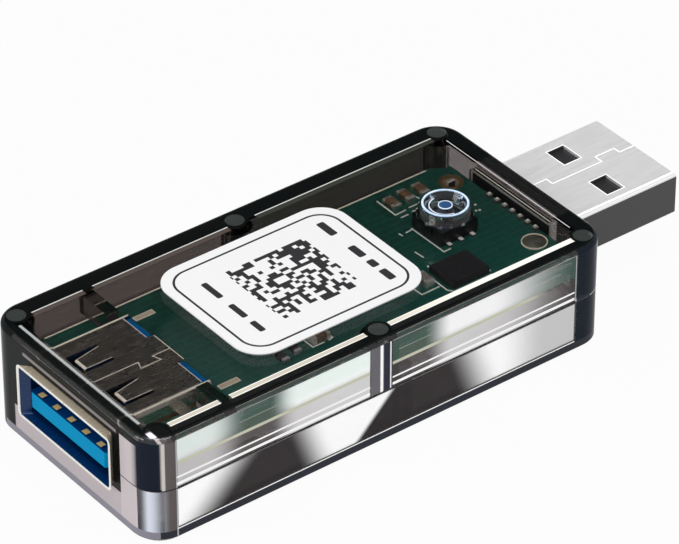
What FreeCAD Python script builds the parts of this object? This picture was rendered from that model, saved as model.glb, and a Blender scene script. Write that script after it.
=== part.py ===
import FreeCAD, Part
import math
import os
from types import SimpleNamespace

import Sketcher

# A radio-controlled switch in a clear two-part casing, with a plug at one end and a socket at the other.
# Lengths are millimetres. The origin is the centre of the casing's underside,
# +X runs along the length to the plug, +Y is across and +Z is up.

sizes = {
    # Casing
    "case_length": 53.2,
    "case_width": 25.4,
    "case_height": 11.75,
    "corner_radius": 3.0,
    "upper_height": 5.8,
    "wall": 1.7,
    "top_plate": 1.4,
    "floor_plate": 1.3,
    "edge_round": 0.5,
    "base_bevel": 0.5,
    "ceiling_bevel": 0.5,
    "floor_bevel": 0.4,
    "lip_rise": 1.0,
    "lip_thickness": 0.8,
    "lip_gap": 0.05,
    "opening_gap": 0.1,
    # Posts, pegs and ribs in the casing
    "post_diameter": 3.4,
    "post_skin": 0.05,
    "post_end_skin": 0.3,
    "mid_post_shift": 0.3,
    "post_gap": 0.15,
    "peg_diameter": 2.0,
    "peg_side_gap": 0.1,
    "peg_end_gap": 0.3,
    "bore_cap": 0.6,
    "support_width": 1.2,
    "support_step": 0.35,
    "support_hold": 0.9,
    "support_seat": 0.2,
    "rib_thickness": 1.3,
    "rib_shift": 9.7,
    "rib_side_gap": 0.35,
    "rib_gap": 0.1,
    # Label
    "label_length": 20.9,
    "label_width": 16.3,
    "label_radius": 3.0,
    "label_thickness": 0.1,
    "label_shift": 1.35,
    # Circuit board
    "board_room": 2.3,
    "board_thickness": 1.0,
    "board_side_gap": 1.2,
    "board_end_gap": 0.2,
    "board_post_gap": 0.3,
    "bay_gap": 0.3,
    "bay_end_gap": 0.4,
    "plating": 0.05,
    "leg_hole_diameter": 1.7,
    "leg_hole_shift": 1.7,
    "leg_hole_offset": 0.25,
    "leg_hole_slide": 0.3,
    "ring_width": 0.4,
    "slot_length": 1.9,
    "slot_width": 0.35,
    "slot_rim": 0.15,
    "slot_shift": 2.4,
    "slot_offset": 0.05,
    "slot_slide": 0.45,
    "joint_pitch": 1.15,
    "joint_side": 0.5,
    "joint_height": 0.45,
    "joint_bevel": 0.12,
    "joint_shift": 0.3,
    "joint_slide": 0.9,
    # Plug
    "plug_width": 12.1,
    "plug_height": 4.5,
    "plug_reach": 14.2,
    "plug_drop": 0.12,
    "plug_slide": 0.1,
    "plug_corner": 0.35,
    "plug_metal": 0.3,
    "plug_tip_bevel": 0.1,
    "plug_root_gap": 0.1,
    "window_length": 2.05,
    "window_width": 2.65,
    "window_spread": 3.2,
    "window_shift": 7.7,
    "seam_width": 0.12,
    "seam_depth": 0.12,
    "plug_seam_root": 1.05,
    "plug_seam_middle": 0.1,
    "plug_seam_loop": 1.1,
    "plug_seam_tip": 0.3,
    "plug_seam_step": 3.7,
    "plug_loop_start": 9.9,
    "plug_loop_end": 12.3,
    "leg_width": 0.8,
    "leg_rise": 0.15,
    "arm_height": 0.45,
    "arm_gap": 0.1,
    "plug_block": 4.1,
    "plug_tongue_setback": 0.8,
    "plug_contact_width": 1.0,
    "plug_contact_thickness": 0.2,
    "plug_inner_pitch": 2.0,
    "plug_outer_pitch": 7.0,
    "plug_contact_setback": 1.4,
    "plug_tail": 1.4,
    "moulding_gap": 0.03,
    # Socket
    "socket_width": 13.1,
    "socket_height": 5.7,
    "socket_drop": 0.05,
    "socket_slide": 0.3,
    "socket_corner": 0.5,
    "socket_metal": 0.3,
    "socket_depth": 11.1,
    "socket_reach": 0.8,
    "flare_side": 0.8,
    "flare_rise": 0.1,
    "socket_seam_shift": -0.2,
    "dovetail_start": 7.5,
    "dovetail_length": 1.55,
    "dovetail_depth": 0.9,
    "dovetail_slant": 0.35,
    "finger_root": 6.1,
    "finger_tip": 3.1,
    "finger_gap": 0.9,
    "finger_inner": 1.45,
    "finger_outer": 4.3,
    "finger_slot": 0.4,
    "finger_side_slot": 0.25,
    "finger_taper": 0.55,
    "finger_spacing": 6.2,
    "notch_depth": 0.8,
    "notch_width": 3.8,
    "notch_spread": 4.3,
    "tab_length": 1.3,
    "tab_reach": 1.25,
    "tab_shift": 2.8,
    "tongue_side_gap": 0.3,
    "tongue_thickness": 1.7,
    "tongue_clear_below": 1.2,
    "tongue_setback": 0.5,
    "tongue_corner": 0.25,
    "socket_block": 3.0,
    "contact_thickness": 0.15,
    "contact_inset": 0.05,
    "fast_contact_width": 0.9,
    "fast_pitch": 2.3,
    "fast_contact_length": 1.1,
    "fast_setback": 0.1,
    "fast_depth": 0.8,
    "main_contact_width": 1.0,
    "main_inner_pitch": 2.0,
    "main_outer_pitch": 7.0,
    "main_setback": 1.9,
    "main_tip_rise": 0.15,
    "main_rise": 0.65,
    "main_ramp": 1.6,
    "main_flat": 0.7,
    "tail_width": 0.4,
    "tail_overlap": 0.8,
    "tail_reach": 0.8,
    # Push button
    "button_shift": 7.0,
    "button_slide": 1.0,
    "cap_diameter": 4.6,
    "cap_side_gap": 0.15,
    "cap_proud": 0.1,
    "cap_rim": 0.3,
    "dish_depth": 0.8,
    "dish_floor_diameter": 3.1,
    "nub_diameter": 1.45,
    "nub_height": 0.55,
    "flange_diameter": 5.6,
    "flange_thickness": 0.35,
    "flange_gap": 0.1,
    "stem_diameter": 1.8,
    "cap_floor": 0.6,
    "cap_skirt": 0.4,
    # Tactile switch under the button
    "switch_side": 4.4,
    "switch_base_height": 1.3,
    "switch_well_diameter": 3.5,
    "switch_well_depth": 0.9,
    "switch_cover": 0.2,
    "switch_clip_width": 1.6,
    "switch_clip_drop": 0.7,
    "switch_clip_thickness": 0.15,
    "plunger_diameter": 1.6,
    "plunger_gap": 0.1,
    "plunger_flange_diameter": 2.6,
    "plunger_flange_thickness": 0.3,
    "plunger_flange_gap": 0.05,
    "plunger_rise": 0.3,
    "dome_diameter": 3.2,
    "dome_rise": 0.2,
    "dome_thickness": 0.08,
    "terminal_pitch": 1.4,
    "terminal_width": 0.4,
    "terminal_reach": 0.5,
    "terminal_thickness": 0.2,
    # Edge break on the moulded chip bodies
    "chip_edge": 0.1,
}

# Chips on the board's upper face, as the distance of the centre from one end of the free board,
# its place across, and the length along X, the width along Y and the height.
chips_by_plug = {
    "wifi_chip": (21.4, 3.0, 5.0, 5.0, 0.85),
    "flash_chip": (16.4, 6.6, 3.0, 2.6, 0.7),
    "inductor": (15.8, 2.2, 3.0, 3.0, 1.5),
    "regulator": (20.2, -2.0, 2.9, 1.6, 1.1),
    "status_led": (16.2, -1.6, 1.0, 1.6, 0.6),
    "load_switch": (10.4, -5.4, 4.4, 3.6, 0.8),
    "diode": (14.0, -4.7, 1.0, 1.8, 0.8),
    "capacitor_1": (8.45, 7.25, 1.0, 1.8, 0.45),
    "capacitor_2": (6.65, 7.4, 1.0, 1.8, 0.45),
    "capacitor_3": (4.9, 7.4, 1.0, 1.8, 0.45),
    "capacitor_5": (17.6, -1.6, 1.0, 1.6, 0.8),
    "capacitor_6": (21.4, 7.4, 1.6, 0.8, 0.8),
    "resistor_3": (24.2, 7.4, 1.6, 0.8, 0.45),
    "resistor_4": (13.6, 1.6, 0.8, 1.6, 0.45),
}
chips_by_socket = {
    "chip_antenna": (8.2, 5.6, 2.0, 5.2, 1.1),
    "crystal": (9.0, -1.2, 3.2, 2.5, 0.7),
    "capacitor_4": (13.0, -5.6, 2.0, 1.25, 0.7),
    "resistor_1": (10.2, -5.6, 0.8, 1.6, 0.45),
    "resistor_2": (8.5, -6.0, 0.8, 1.6, 0.45),
}
chips = chips_by_plug | chips_by_socket
for chip_name, chip_numbers in chips.items():
    for measure, number in zip(("reach", "y", "length", "width", "height"), chip_numbers):
        sizes[f"{chip_name}_{measure}"] = number

TOLERANCE = 0.001

doc = FreeCAD.newDocument("radio_switch")
sheet = doc.addObject("Spreadsheet::Sheet", "Sizes")
for row, (size_name, size_value) in enumerate(sizes.items(), start=1):
    sheet.set(f"A{row}", size_name)
    sheet.set(f"B{row}", str(size_value))
    sheet.setAlias(f"B{row}", size_name)
doc.recompute()


class Size:
    """A length as the sheet expression that gives it, with its value now."""

    def __init__(self, value, text):
        self.value = value
        self.text = text

    def __add__(self, other):
        other = as_size(other)
        return Size(self.value + other.value, f"({self.text} + {other.text})")

    def __sub__(self, other):
        other = as_size(other)
        return Size(self.value - other.value, f"({self.text} - {other.text})")

    def __mul__(self, number):
        return Size(self.value * number, f"({self.text} * ({number}))")

    def __truediv__(self, number):
        return Size(self.value / number, f"({self.text} / {number})")

    def __neg__(self):
        return self * -1


def as_size(item):
    """Plain numbers count as sizes too."""
    return item if isinstance(item, Size) else Size(float(item), f"({float(item)})")


def bind(item, prop, length):
    """Ties a property of a document object to a sheet expression."""
    item.setExpression(prop, as_size(length).text)


def new_body(name, x=None, y=None, z=None):
    """A body that becomes one piece, with its own place."""
    body = doc.addObject("PartDesign::Body", name)
    body.Label = name
    for axis, place in (("x", x), ("y", y), ("z", z)):
        if place is not None:
            bind(body, f"Placement.Base.{axis}", place)
    return body


def origin_item(body, role):
    return next(item for item in body.Origin.OriginFeatures if item.Role == role)


def new_sketch(body, name, role="XY_Plane", offset=None):
    """A sketch on one of the body's own planes, moved along its normal."""
    sketch = body.newObject("Sketcher::SketchObject", name)
    sketch.AttachmentSupport = [(origin_item(body, role), "")]
    sketch.MapMode = "FlatFace"
    if offset is not None:
        bind(sketch, "AttachmentOffset.Base.z", offset)
    return sketch


def hold(sketch, axis, geometry, point, length):
    """Holds one coordinate of a sketch point at a distance from the sketch origin."""
    length = as_size(length)
    if length.text == "(0.0)":
        line = -2 if axis == "X" else -1
        sketch.addConstraint(Sketcher.Constraint("PointOnObject", geometry, point, line))
        return
    constraint = Sketcher.Constraint(f"Distance{axis}", -1, 1, geometry, point, length.value)
    index = sketch.addConstraint(constraint)
    sketch.setExpression(f"Constraints[{index}]", length.text)


def add_polygon(sketch, points):
    """A closed outline through points given as pairs of sizes."""
    corners = [(as_size(x), as_size(y)) for x, y in points]
    places = [FreeCAD.Vector(x.value, y.value, 0) for x, y in corners]
    first = sketch.GeometryCount
    count = len(corners)
    for i in range(count):
        sketch.addGeometry(Part.LineSegment(places[i], places[(i + 1) % count]), False)
    for i in range(count):
        following = first + (i + 1) % count
        sketch.addConstraint(Sketcher.Constraint("Coincident", first + i, 2, following, 1))
    for i, (x, y) in enumerate(corners):
        hold(sketch, "X", first + i, 1, x)
        hold(sketch, "Y", first + i, 1, y)


def add_rectangle(sketch, left, right, low, high):
    add_polygon(sketch, [(left, low), (right, low), (right, high), (left, high)])


def add_rounded_rectangle(sketch, left, right, low, high, radius):
    """A rectangle between four coordinates, with four equal corner arcs."""
    left, right, low, high = as_size(left), as_size(right), as_size(low), as_size(high)
    first = sketch.GeometryCount
    r = radius.value
    runs = [
        ((left.value + r, low.value), (right.value - r, low.value)),
        ((right.value, low.value + r), (right.value, high.value - r)),
        ((right.value - r, high.value), (left.value + r, high.value)),
        ((left.value, high.value - r), (left.value, low.value + r)),
    ]
    centres = [
        (right.value - r, low.value + r),
        (right.value - r, high.value - r),
        (left.value + r, high.value - r),
        (left.value + r, low.value + r),
    ]
    up = FreeCAD.Vector(0, 0, 1)
    for i in range(4):
        start, end = [FreeCAD.Vector(*point, 0) for point in runs[i]]
        sketch.addGeometry(Part.LineSegment(start, end), False)
        circle = Part.Circle(FreeCAD.Vector(*centres[i], 0), up, r)
        turn = math.radians(90 * i - 90)
        arc = Part.ArcOfCircle(circle, turn, turn + math.radians(90))
        sketch.addGeometry(arc, False)
    for i in range(8):
        following = first + (i + 1) % 8
        sketch.addConstraint(Sketcher.Constraint("Tangent", first + i, 2, following, 1))
    for i in range(4):
        direction = "Horizontal" if i % 2 == 0 else "Vertical"
        sketch.addConstraint(Sketcher.Constraint(direction, first + 2 * i))
    for i in range(1, 4):
        sketch.addConstraint(Sketcher.Constraint("Equal", first + 1, first + 2 * i + 1))
    index = sketch.addConstraint(Sketcher.Constraint("Radius", first + 1, r))
    sketch.setExpression(f"Constraints[{index}]", radius.text)
    hold(sketch, "Y", first, 1, low)
    hold(sketch, "X", first + 2, 1, right)
    hold(sketch, "Y", first + 4, 1, high)
    hold(sketch, "X", first + 6, 1, left)


def add_circle(sketch, x, y, diameter):
    x, y = as_size(x), as_size(y)
    centre = FreeCAD.Vector(x.value, y.value, 0)
    circle = Part.Circle(centre, FreeCAD.Vector(0, 0, 1), diameter.value / 2)
    geometry = sketch.addGeometry(circle, False)
    hold(sketch, "X", geometry, 3, x)
    hold(sketch, "Y", geometry, 3, y)
    index = sketch.addConstraint(Sketcher.Constraint("Diameter", geometry, diameter.value))
    sketch.setExpression(f"Constraints[{index}]", diameter.text)


def pad(body, sketch, length, reverse=False, both_ways=False):
    feature = body.newObject("PartDesign::Pad", f"{sketch.Name}_pad")
    feature.Profile = sketch
    bind(feature, "Length", length)
    feature.Reversed = reverse
    if both_ways:
        feature.SideType = "Symmetric"
    return feature


def pocket(body, sketch, length, along_normal=False, both_ways=False):
    """A cut against the sketch's normal, or along it."""
    feature = body.newObject("PartDesign::Pocket", f"{sketch.Name}_cut")
    feature.Profile = sketch
    bind(feature, "Length", length)
    feature.Reversed = along_normal
    if both_ways:
        feature.SideType = "Symmetric"
    return feature


def revolve(body, sketch):
    feature = body.newObject("PartDesign::Revolution", f"{sketch.Name}_turn")
    feature.Profile = sketch
    feature.ReferenceAxis = (sketch, ["V_Axis"])
    feature.Angle = 360
    return feature


def loft(body, kind, name, first, last):
    feature = body.newObject(f"PartDesign::{kind}", name)
    feature.Profile = first
    feature.Sections = [last]
    feature.Ruled = True
    return feature


def edges_in_plane(shape, axis, place):
    """Names of the edges that lie flat in a plane across one axis."""
    names = []
    for number, edge in enumerate(shape.Edges, start=1):
        box = edge.BoundBox
        low, high = getattr(box, f"{axis}Min"), getattr(box, f"{axis}Max")
        if abs(low - place.value) < TOLERANCE and abs(high - place.value) < TOLERANCE:
            names.append(f"Edge{number}")
    return names


def soften(body, name, kind, size, axis, place):
    """Rounds or bevels every edge of the body in one plane."""
    doc.recompute()
    last = body.Tip
    feature = body.newObject(f"PartDesign::{kind}", name)
    feature.Base = (last, edges_in_plane(last.Shape, axis, as_size(place)))
    bind(feature, "Radius" if kind == "Fillet" else "Size", size)
    return feature


def thick_line(points, width):
    """The outline of a line of one width through points, with mitred corners."""
    flat = [(as_size(x), as_size(y)) for x, y in points]
    values = [FreeCAD.Vector(x.value, y.value, 0) for x, y in flat]
    steps = [(b - a).normalize() for a, b in zip(values, values[1:])]
    sides = []
    for i in range(len(values)):
        before = steps[max(i - 1, 0)]
        after = steps[min(i, len(steps) - 1)]
        side = FreeCAD.Vector(-before.y - after.y, before.x + after.x, 0).normalize()
        stretch = side.dot(FreeCAD.Vector(-after.y, after.x, 0))
        sides.append(side * (0.5 / stretch))
    near = [(x + width * s.x, y + width * s.y) for (x, y), s in zip(flat, sides)]
    far = [(x - width * s.x, y - width * s.y) for (x, y), s in zip(flat, sides)]
    return near + far[::-1]


d = SimpleNamespace(**{name: Size(value, f"Sizes.{name}") for name, value in sizes.items()})

half_length = d.case_length / 2
half_width = d.case_width / 2
ceiling = d.case_height - d.top_plate
parting = d.case_height - d.upper_height
inner_half_length = half_length - d.wall
inner_half_width = half_width - d.wall
inner_radius = d.corner_radius - d.wall
post_x = half_length - d.post_diameter / 2 - d.post_end_skin
post_y = half_width - d.post_diameter / 2 - d.post_skin
post_rows = (post_x, d.mid_post_shift, -post_x)
bore_end = d.case_height - d.bore_cap
board_top = ceiling - d.board_room
board_bottom = board_top - d.board_thickness
board_half_width = inner_half_width - d.board_side_gap
board_half_length = inner_half_length - d.board_end_gap
leg_x = board_half_length - d.leg_hole_shift
leg_half_spread = d.plug_width / 2 + d.leg_hole_offset
leg_centre = d.plug_slide + d.leg_hole_slide
plug_centre = board_bottom - d.plug_drop
plug_top = plug_centre + d.plug_height / 2
plug_root = inner_half_length + d.plug_root_gap
plug_tip = half_length + d.plug_reach
socket_y = -d.socket_slide
socket_face = -half_length
socket_rear = socket_face + d.socket_depth
socket_half_width = d.socket_width / 2
socket_centre = board_bottom - d.socket_drop
socket_bottom = socket_centre - d.socket_height / 2
socket_top = socket_centre + d.socket_height / 2
button_x = board_half_length - d.button_shift
button_y = d.button_slide


def add_post_circles(sketch, diameter):
    """One circle on the axis of each of the six posts."""
    for x in post_rows:
        add_circle(sketch, x, post_y, diameter)
        add_circle(sketch, x, -post_y, diameter)


def add_case_outline(sketch, inset):
    """The casing's outline, moved inward."""
    x = half_length - inset
    y = half_width - inset
    add_rounded_rectangle(sketch, -x, x, -y, y, d.corner_radius - inset)


def add_section(sketch, half_wide, half_tall, y, z, radius):
    """A plug or socket section on an end plane."""
    add_rounded_rectangle(
        sketch, y - half_wide, y + half_wide, z - half_tall, z + half_tall, radius
    )


def plug_section(sketch, grow, y=0):
    """The plug's section about its centre line, grown all round."""
    wide = d.plug_width / 2 + grow
    tall = d.plug_height / 2 + grow
    add_section(sketch, wide, tall, as_size(y), plug_centre, d.plug_corner + grow)


def socket_section(sketch, grow, y=0, flare_side=0, flare_rise=0):
    """The socket's section about its centre line, grown all round and flared."""
    wide = socket_half_width + grow + flare_side
    tall = d.socket_height / 2 + grow + flare_rise
    radius = d.socket_corner + grow + flare_rise
    add_section(sketch, wide, tall, as_size(y), socket_centre, radius)


def cut_end_openings(body, prefix):
    """Cuts the plug's and the socket's places through the casing's end walls."""
    inside = half_length - d.wall * 2
    plug_opening = new_sketch(body, f"{prefix}_plug_opening", "YZ_Plane", inside)
    plug_section(plug_opening, d.opening_gap, d.plug_slide)
    pocket(body, plug_opening, d.wall * 3, along_normal=True)
    socket_opening = new_sketch(body, f"{prefix}_socket_opening", "YZ_Plane", -inside)
    socket_section(socket_opening, d.opening_gap, socket_y)
    pocket(body, socket_opening, d.wall * 3)


def hollow_out(body, cavity, name):
    """Takes a second body out of the first."""
    doc.recompute()
    cut = body.newObject("PartDesign::Boolean", name)
    cut.setObjects([cavity])
    cut.Type = "Cut"


# Upper half of the casing: hollow below, with a recess for the lip, six bored posts and two ribs.
upper_shell = new_body("upper_shell")
upper_outline = new_sketch(upper_shell, "upper_outline", offset=parting)
add_case_outline(upper_outline, as_size(0))
pad(upper_shell, upper_outline, d.case_height - parting)
soften(upper_shell, "upper_edge_round", "Fillet", d.edge_round, "Z", d.case_height)

upper_cavity = new_body("upper_cavity")
upper_inside = new_sketch(upper_cavity, "upper_inside", offset=parting)
add_case_outline(upper_inside, d.wall)
pad(upper_cavity, upper_inside, ceiling - parting)
soften(upper_cavity, "ceiling_edge_bevel", "Chamfer", d.ceiling_bevel, "Z", ceiling)
lip_recess = new_sketch(upper_cavity, "lip_recess", offset=parting)
add_case_outline(lip_recess, d.wall - d.lip_thickness - d.lip_gap)
pad(upper_cavity, lip_recess, d.lip_rise + d.lip_gap)
upper_posts = new_sketch(upper_cavity, "upper_posts", offset=parting)
add_post_circles(upper_posts, d.post_diameter)
pocket(upper_cavity, upper_posts, ceiling - parting, along_normal=True)
ribs = new_sketch(upper_cavity, "ribs", offset=board_top + d.rib_gap)
rib_start = socket_face + d.rib_shift - d.rib_thickness / 2
rib_side = socket_half_width + d.rib_side_gap
rib_end = rib_start + d.rib_thickness
add_rectangle(ribs, rib_start, rib_end, socket_y + rib_side, half_width)
add_rectangle(ribs, rib_start, rib_end, -half_width, socket_y - rib_side)
pocket(upper_cavity, ribs, ceiling - board_top - d.rib_gap, along_normal=True)
hollow_out(upper_shell, upper_cavity, "upper_hollow")

bores = new_sketch(upper_shell, "bores", offset=parting)
add_post_circles(bores, d.peg_diameter + d.peg_side_gap * 2)
pocket(upper_shell, bores, bore_end - parting, along_normal=True)
button_hole = new_sketch(upper_shell, "button_hole", offset=ceiling)
add_circle(button_hole, button_x, button_y, d.cap_diameter + d.cap_side_gap * 2)
pocket(upper_shell, button_hole, d.top_plate * 2, along_normal=True)
cut_end_openings(upper_shell, "upper")

# Lower half of the casing: floor, walls, lip, posts with pegs, and six supports under the board.
lower_shell = new_body("lower_shell")
lower_outline = new_sketch(lower_shell, "lower_outline")
add_case_outline(lower_outline, as_size(0))
pad(lower_shell, lower_outline, parting)
soften(lower_shell, "lower_edge_bevel", "Chamfer", d.base_bevel, "Z", 0)

support_places = []
for post, side in ((post_x, -1), (d.mid_post_shift, 1), (-post_x, 1)):
    near = post + (d.post_diameter / 2 + d.support_step) * side
    far = near + d.support_width * side
    support_places.append((near, far) if side > 0 else (far, near))
support_side = board_half_width - d.support_hold

lower_cavity = new_body("lower_cavity")
lower_inside = new_sketch(lower_cavity, "lower_inside", offset=d.floor_plate)
add_case_outline(lower_inside, d.wall)
pad(lower_cavity, lower_inside, parting - d.floor_plate)
soften(lower_cavity, "floor_edge_bevel", "Chamfer", d.floor_bevel, "Z", d.floor_plate)
lower_posts = new_sketch(lower_cavity, "lower_posts", offset=d.floor_plate)
add_post_circles(lower_posts, d.post_diameter)
pocket(lower_cavity, lower_posts, parting - d.floor_plate, along_normal=True)
supports = new_sketch(lower_cavity, "supports", offset=d.floor_plate)
for left, right in support_places:
    seat = inner_half_width + d.support_seat
    add_rectangle(supports, left, right, support_side, seat)
    add_rectangle(supports, left, right, -seat, -support_side)
pocket(lower_cavity, supports, parting - d.floor_plate, along_normal=True)
hollow_out(lower_shell, lower_cavity, "lower_hollow")

lip = new_sketch(lower_shell, "lip", offset=parting)
add_case_outline(lip, d.wall - d.lip_thickness)
add_case_outline(lip, d.wall)
pad(lower_shell, lip, d.lip_rise)
lip_breaks = new_sketch(lower_shell, "lip_breaks", offset=parting)
add_post_circles(lip_breaks, d.post_diameter + d.post_gap * 2)
pocket(lower_shell, lip_breaks, d.lip_rise, along_normal=True)
support_tops = new_sketch(lower_shell, "support_tops", offset=parting)
for left, right in support_places:
    edge = inner_half_width - d.rib_gap
    add_rectangle(support_tops, left, right, support_side, edge)
    add_rectangle(support_tops, left, right, -edge, -support_side)
pad(lower_shell, support_tops, board_bottom - parting)
pegs = new_sketch(lower_shell, "pegs", offset=parting)
add_post_circles(pegs, d.peg_diameter)
pad(lower_shell, pegs, bore_end - d.peg_end_gap - parting)
cut_end_openings(lower_shell, "lower")

# Paper label on the lid
label = new_body("label", x=-d.label_shift)
label_outline = new_sketch(label, "label_outline", offset=d.case_height)
add_rounded_rectangle(
    label_outline,
    -d.label_length / 2,
    d.label_length / 2,
    -d.label_width / 2,
    d.label_width / 2,
    d.label_radius,
)
pad(label, label_outline, d.label_thickness)

# Circuit board, with a bay for the socket, notches round the posts and plated holes.
circuit_board = new_body("circuit_board")
board_outline = new_sketch(circuit_board, "board_outline", offset=board_bottom)
add_rectangle(
    board_outline, -board_half_length, board_half_length, -board_half_width, board_half_width
)
pad(circuit_board, board_outline, d.board_thickness)
bay = new_sketch(circuit_board, "socket_bay", offset=board_bottom)
bay_side = socket_half_width + d.bay_gap
bay_end = socket_rear + d.bay_end_gap
add_rectangle(bay, -half_length, bay_end, socket_y - bay_side, socket_y + bay_side)
pocket(circuit_board, bay, d.board_thickness, along_normal=True)
post_notches = new_sketch(circuit_board, "post_notches", offset=board_bottom)
add_post_circles(post_notches, d.post_diameter + d.board_post_gap * 2)
pocket(circuit_board, post_notches, d.board_thickness, along_normal=True)


def add_plated_slot(sketch, side, grow):
    """A slot beside the socket's rear corner, grown all round."""
    x = socket_rear + d.slot_shift
    y = d.slot_slide + (socket_half_width + d.slot_offset) * side
    long_half = d.slot_length / 2 + grow
    short_half = d.slot_width / 2 + grow
    add_rectangle(sketch, x - long_half, x + long_half, y - short_half, y + short_half)


plated_holes = new_sketch(circuit_board, "plated_holes", offset=board_bottom)
for side in (-1, 1):
    add_circle(plated_holes, leg_x, leg_centre + leg_half_spread * side, d.leg_hole_diameter)
    add_plated_slot(plated_holes, side, as_size(0))
pocket(circuit_board, plated_holes, d.board_thickness, along_normal=True)

plated_rings = new_body("plated_rings")
rings = new_sketch(plated_rings, "rings", offset=board_top)
for side in (-1, 1):
    ring_y = leg_centre + leg_half_spread * side
    add_circle(rings, leg_x, ring_y, d.leg_hole_diameter)
    add_circle(rings, leg_x, ring_y, d.leg_hole_diameter + d.ring_width * 2)
    add_plated_slot(rings, side, as_size(0))
    add_plated_slot(rings, side, d.slot_rim)
pad(plated_rings, rings, d.plating)

# Row of soldered pins along the board's plug end
first_pin_y = -d.joint_pitch * 3 - d.joint_slide
pin_joints = new_body(
    "pin_joints", x=board_half_length - d.joint_shift, y=first_pin_y, z=board_top
)
joint_outline = new_sketch(pin_joints, "joint_outline")
joint_half = d.joint_side / 2
add_rectangle(joint_outline, -joint_half, joint_half, -joint_half, joint_half)
first_joint = pad(pin_joints, joint_outline, d.joint_height)
joint_tip = soften(pin_joints, "joint_tip", "Chamfer", d.joint_bevel, "Z", d.joint_height)
joint_row = pin_joints.newObject("PartDesign::LinearPattern", "joint_row")
joint_row.Originals = [first_joint, joint_tip]
joint_row.Direction = (origin_item(pin_joints, "Y_Axis"), [""])
bind(joint_row, "Length", d.joint_pitch * 6)
joint_row.Occurrences = 7
pin_joints.Tip = joint_row

# Metal shell of the plug: a folded tube with four windows, a seam and two legs in the board.
plug_shell = new_body("plug_shell", y=d.plug_slide)
plug_tube = new_sketch(plug_shell, "plug_tube", "YZ_Plane", plug_root)
plug_section(plug_tube, as_size(0))
plug_section(plug_tube, -d.plug_metal)
pad(plug_shell, plug_tube, plug_tip - plug_root)
soften(plug_shell, "plug_tip_edges", "Chamfer", d.plug_tip_bevel, "X", plug_tip)
windows = new_sketch(plug_shell, "windows", offset=plug_top)
window_start = half_length + d.window_shift - d.window_length / 2
for side in (-1, 1):
    centre = d.window_spread * side
    add_rectangle(
        windows,
        window_start,
        window_start + d.window_length,
        centre - d.window_width / 2,
        centre + d.window_width / 2,
    )
pocket(plug_shell, windows, d.plug_height)
plug_seam = new_sketch(plug_shell, "plug_seam", offset=plug_top)
seam_corners = [
    (plug_root - d.wall, d.plug_seam_root),
    (half_length + d.plug_seam_step, d.plug_seam_root),
    (half_length + d.plug_seam_step, d.plug_seam_middle),
    (half_length + d.plug_loop_start, d.plug_seam_middle),
    (half_length + d.plug_loop_start, d.plug_seam_loop),
    (half_length + d.plug_loop_end, d.plug_seam_loop),
    (half_length + d.plug_loop_end, d.plug_seam_tip),
    (plug_tip + d.wall, d.plug_seam_tip),
]
add_polygon(plug_seam, thick_line(seam_corners, d.seam_width))
pocket(plug_shell, plug_seam, d.seam_depth)
arms = new_sketch(plug_shell, "arms", "YZ_Plane", plug_root)
arm_top = board_bottom - d.arm_gap
arm_outer = d.plug_width / 2
arm_inner = arm_outer - d.plug_metal
leg_start = leg_x - d.leg_width / 2
leg_end = leg_start + d.leg_width
leg_top = board_top + d.leg_rise
half_metal = d.plug_metal / 2
for left, right in ((arm_inner, arm_outer), (-arm_outer, -arm_inner)):
    add_rectangle(arms, left, right, arm_top - d.arm_height, arm_top)
pad(plug_shell, arms, plug_root - leg_start, reverse=True)
feet = new_sketch(plug_shell, "feet", offset=arm_top)
legs = new_sketch(plug_shell, "legs", offset=leg_top)
far_leg = d.leg_hole_slide + leg_half_spread
near_leg = d.leg_hole_slide - leg_half_spread
add_rectangle(feet, leg_start, leg_end, arm_inner, far_leg + half_metal)
add_rectangle(feet, leg_start, leg_end, near_leg - half_metal, -arm_inner)
for middle in (far_leg, near_leg):
    add_rectangle(legs, leg_start, leg_end, middle - half_metal, middle + half_metal)
pad(plug_shell, feet, d.plug_metal, reverse=True)
pad(plug_shell, legs, leg_top - arm_top + d.plug_metal, reverse=True)


def contact_places(inner_pitch, outer_pitch):
    return (-outer_pitch / 2, -inner_pitch / 2, inner_pitch / 2, outer_pitch / 2)


# Four flat contacts of the plug, soldered under the board
plug_contacts = []
plug_places = contact_places(d.plug_inner_pitch, d.plug_outer_pitch)
for number, place in enumerate(plug_places, start=1):
    contact = new_body(f"plug_contact_{number}", y=d.plug_slide + place)
    side_view = new_sketch(contact, f"plug_contact_{number}_side", "XZ_Plane")
    add_rectangle(
        side_view,
        board_half_length - d.plug_tail,
        plug_tip - d.plug_contact_setback,
        board_bottom - d.plug_contact_thickness,
        board_bottom,
    )
    pad(contact, side_view, d.plug_contact_width, both_ways=True)
    plug_contacts.append(contact)


def mould_round(name, blank, contacts):
    """A moulding with its contacts' own shapes taken out of it."""
    inserts = doc.addObject("Part::Compound", f"{name}_inserts")
    inserts.Links = contacts
    moulding = doc.addObject("Part::Cut", name)
    moulding.Base = blank
    moulding.Tool = inserts
    moulding.Label = name
    return moulding


# Plastic inside the plug: a block at the root and a tongue above the contacts
plug_blank = new_body("plug_blank", y=d.plug_slide)
plug_block = new_sketch(plug_blank, "plug_block", "YZ_Plane", plug_root)
inside_plug = -d.plug_metal - d.moulding_gap
plug_section(plug_block, inside_plug)
pad(plug_blank, plug_block, d.plug_block)
plug_tongue = new_sketch(plug_blank, "plug_tongue", "YZ_Plane", plug_root)
tongue_half = d.plug_width / 2 + inside_plug
add_rounded_rectangle(
    plug_tongue,
    -tongue_half,
    tongue_half,
    board_bottom,
    plug_top + inside_plug,
    d.plug_corner + inside_plug,
)
pad(plug_blank, plug_tongue, plug_tip - d.plug_tongue_setback - plug_root)
plug_insulator = mould_round("plug_insulator", plug_blank, plug_contacts)

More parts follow.
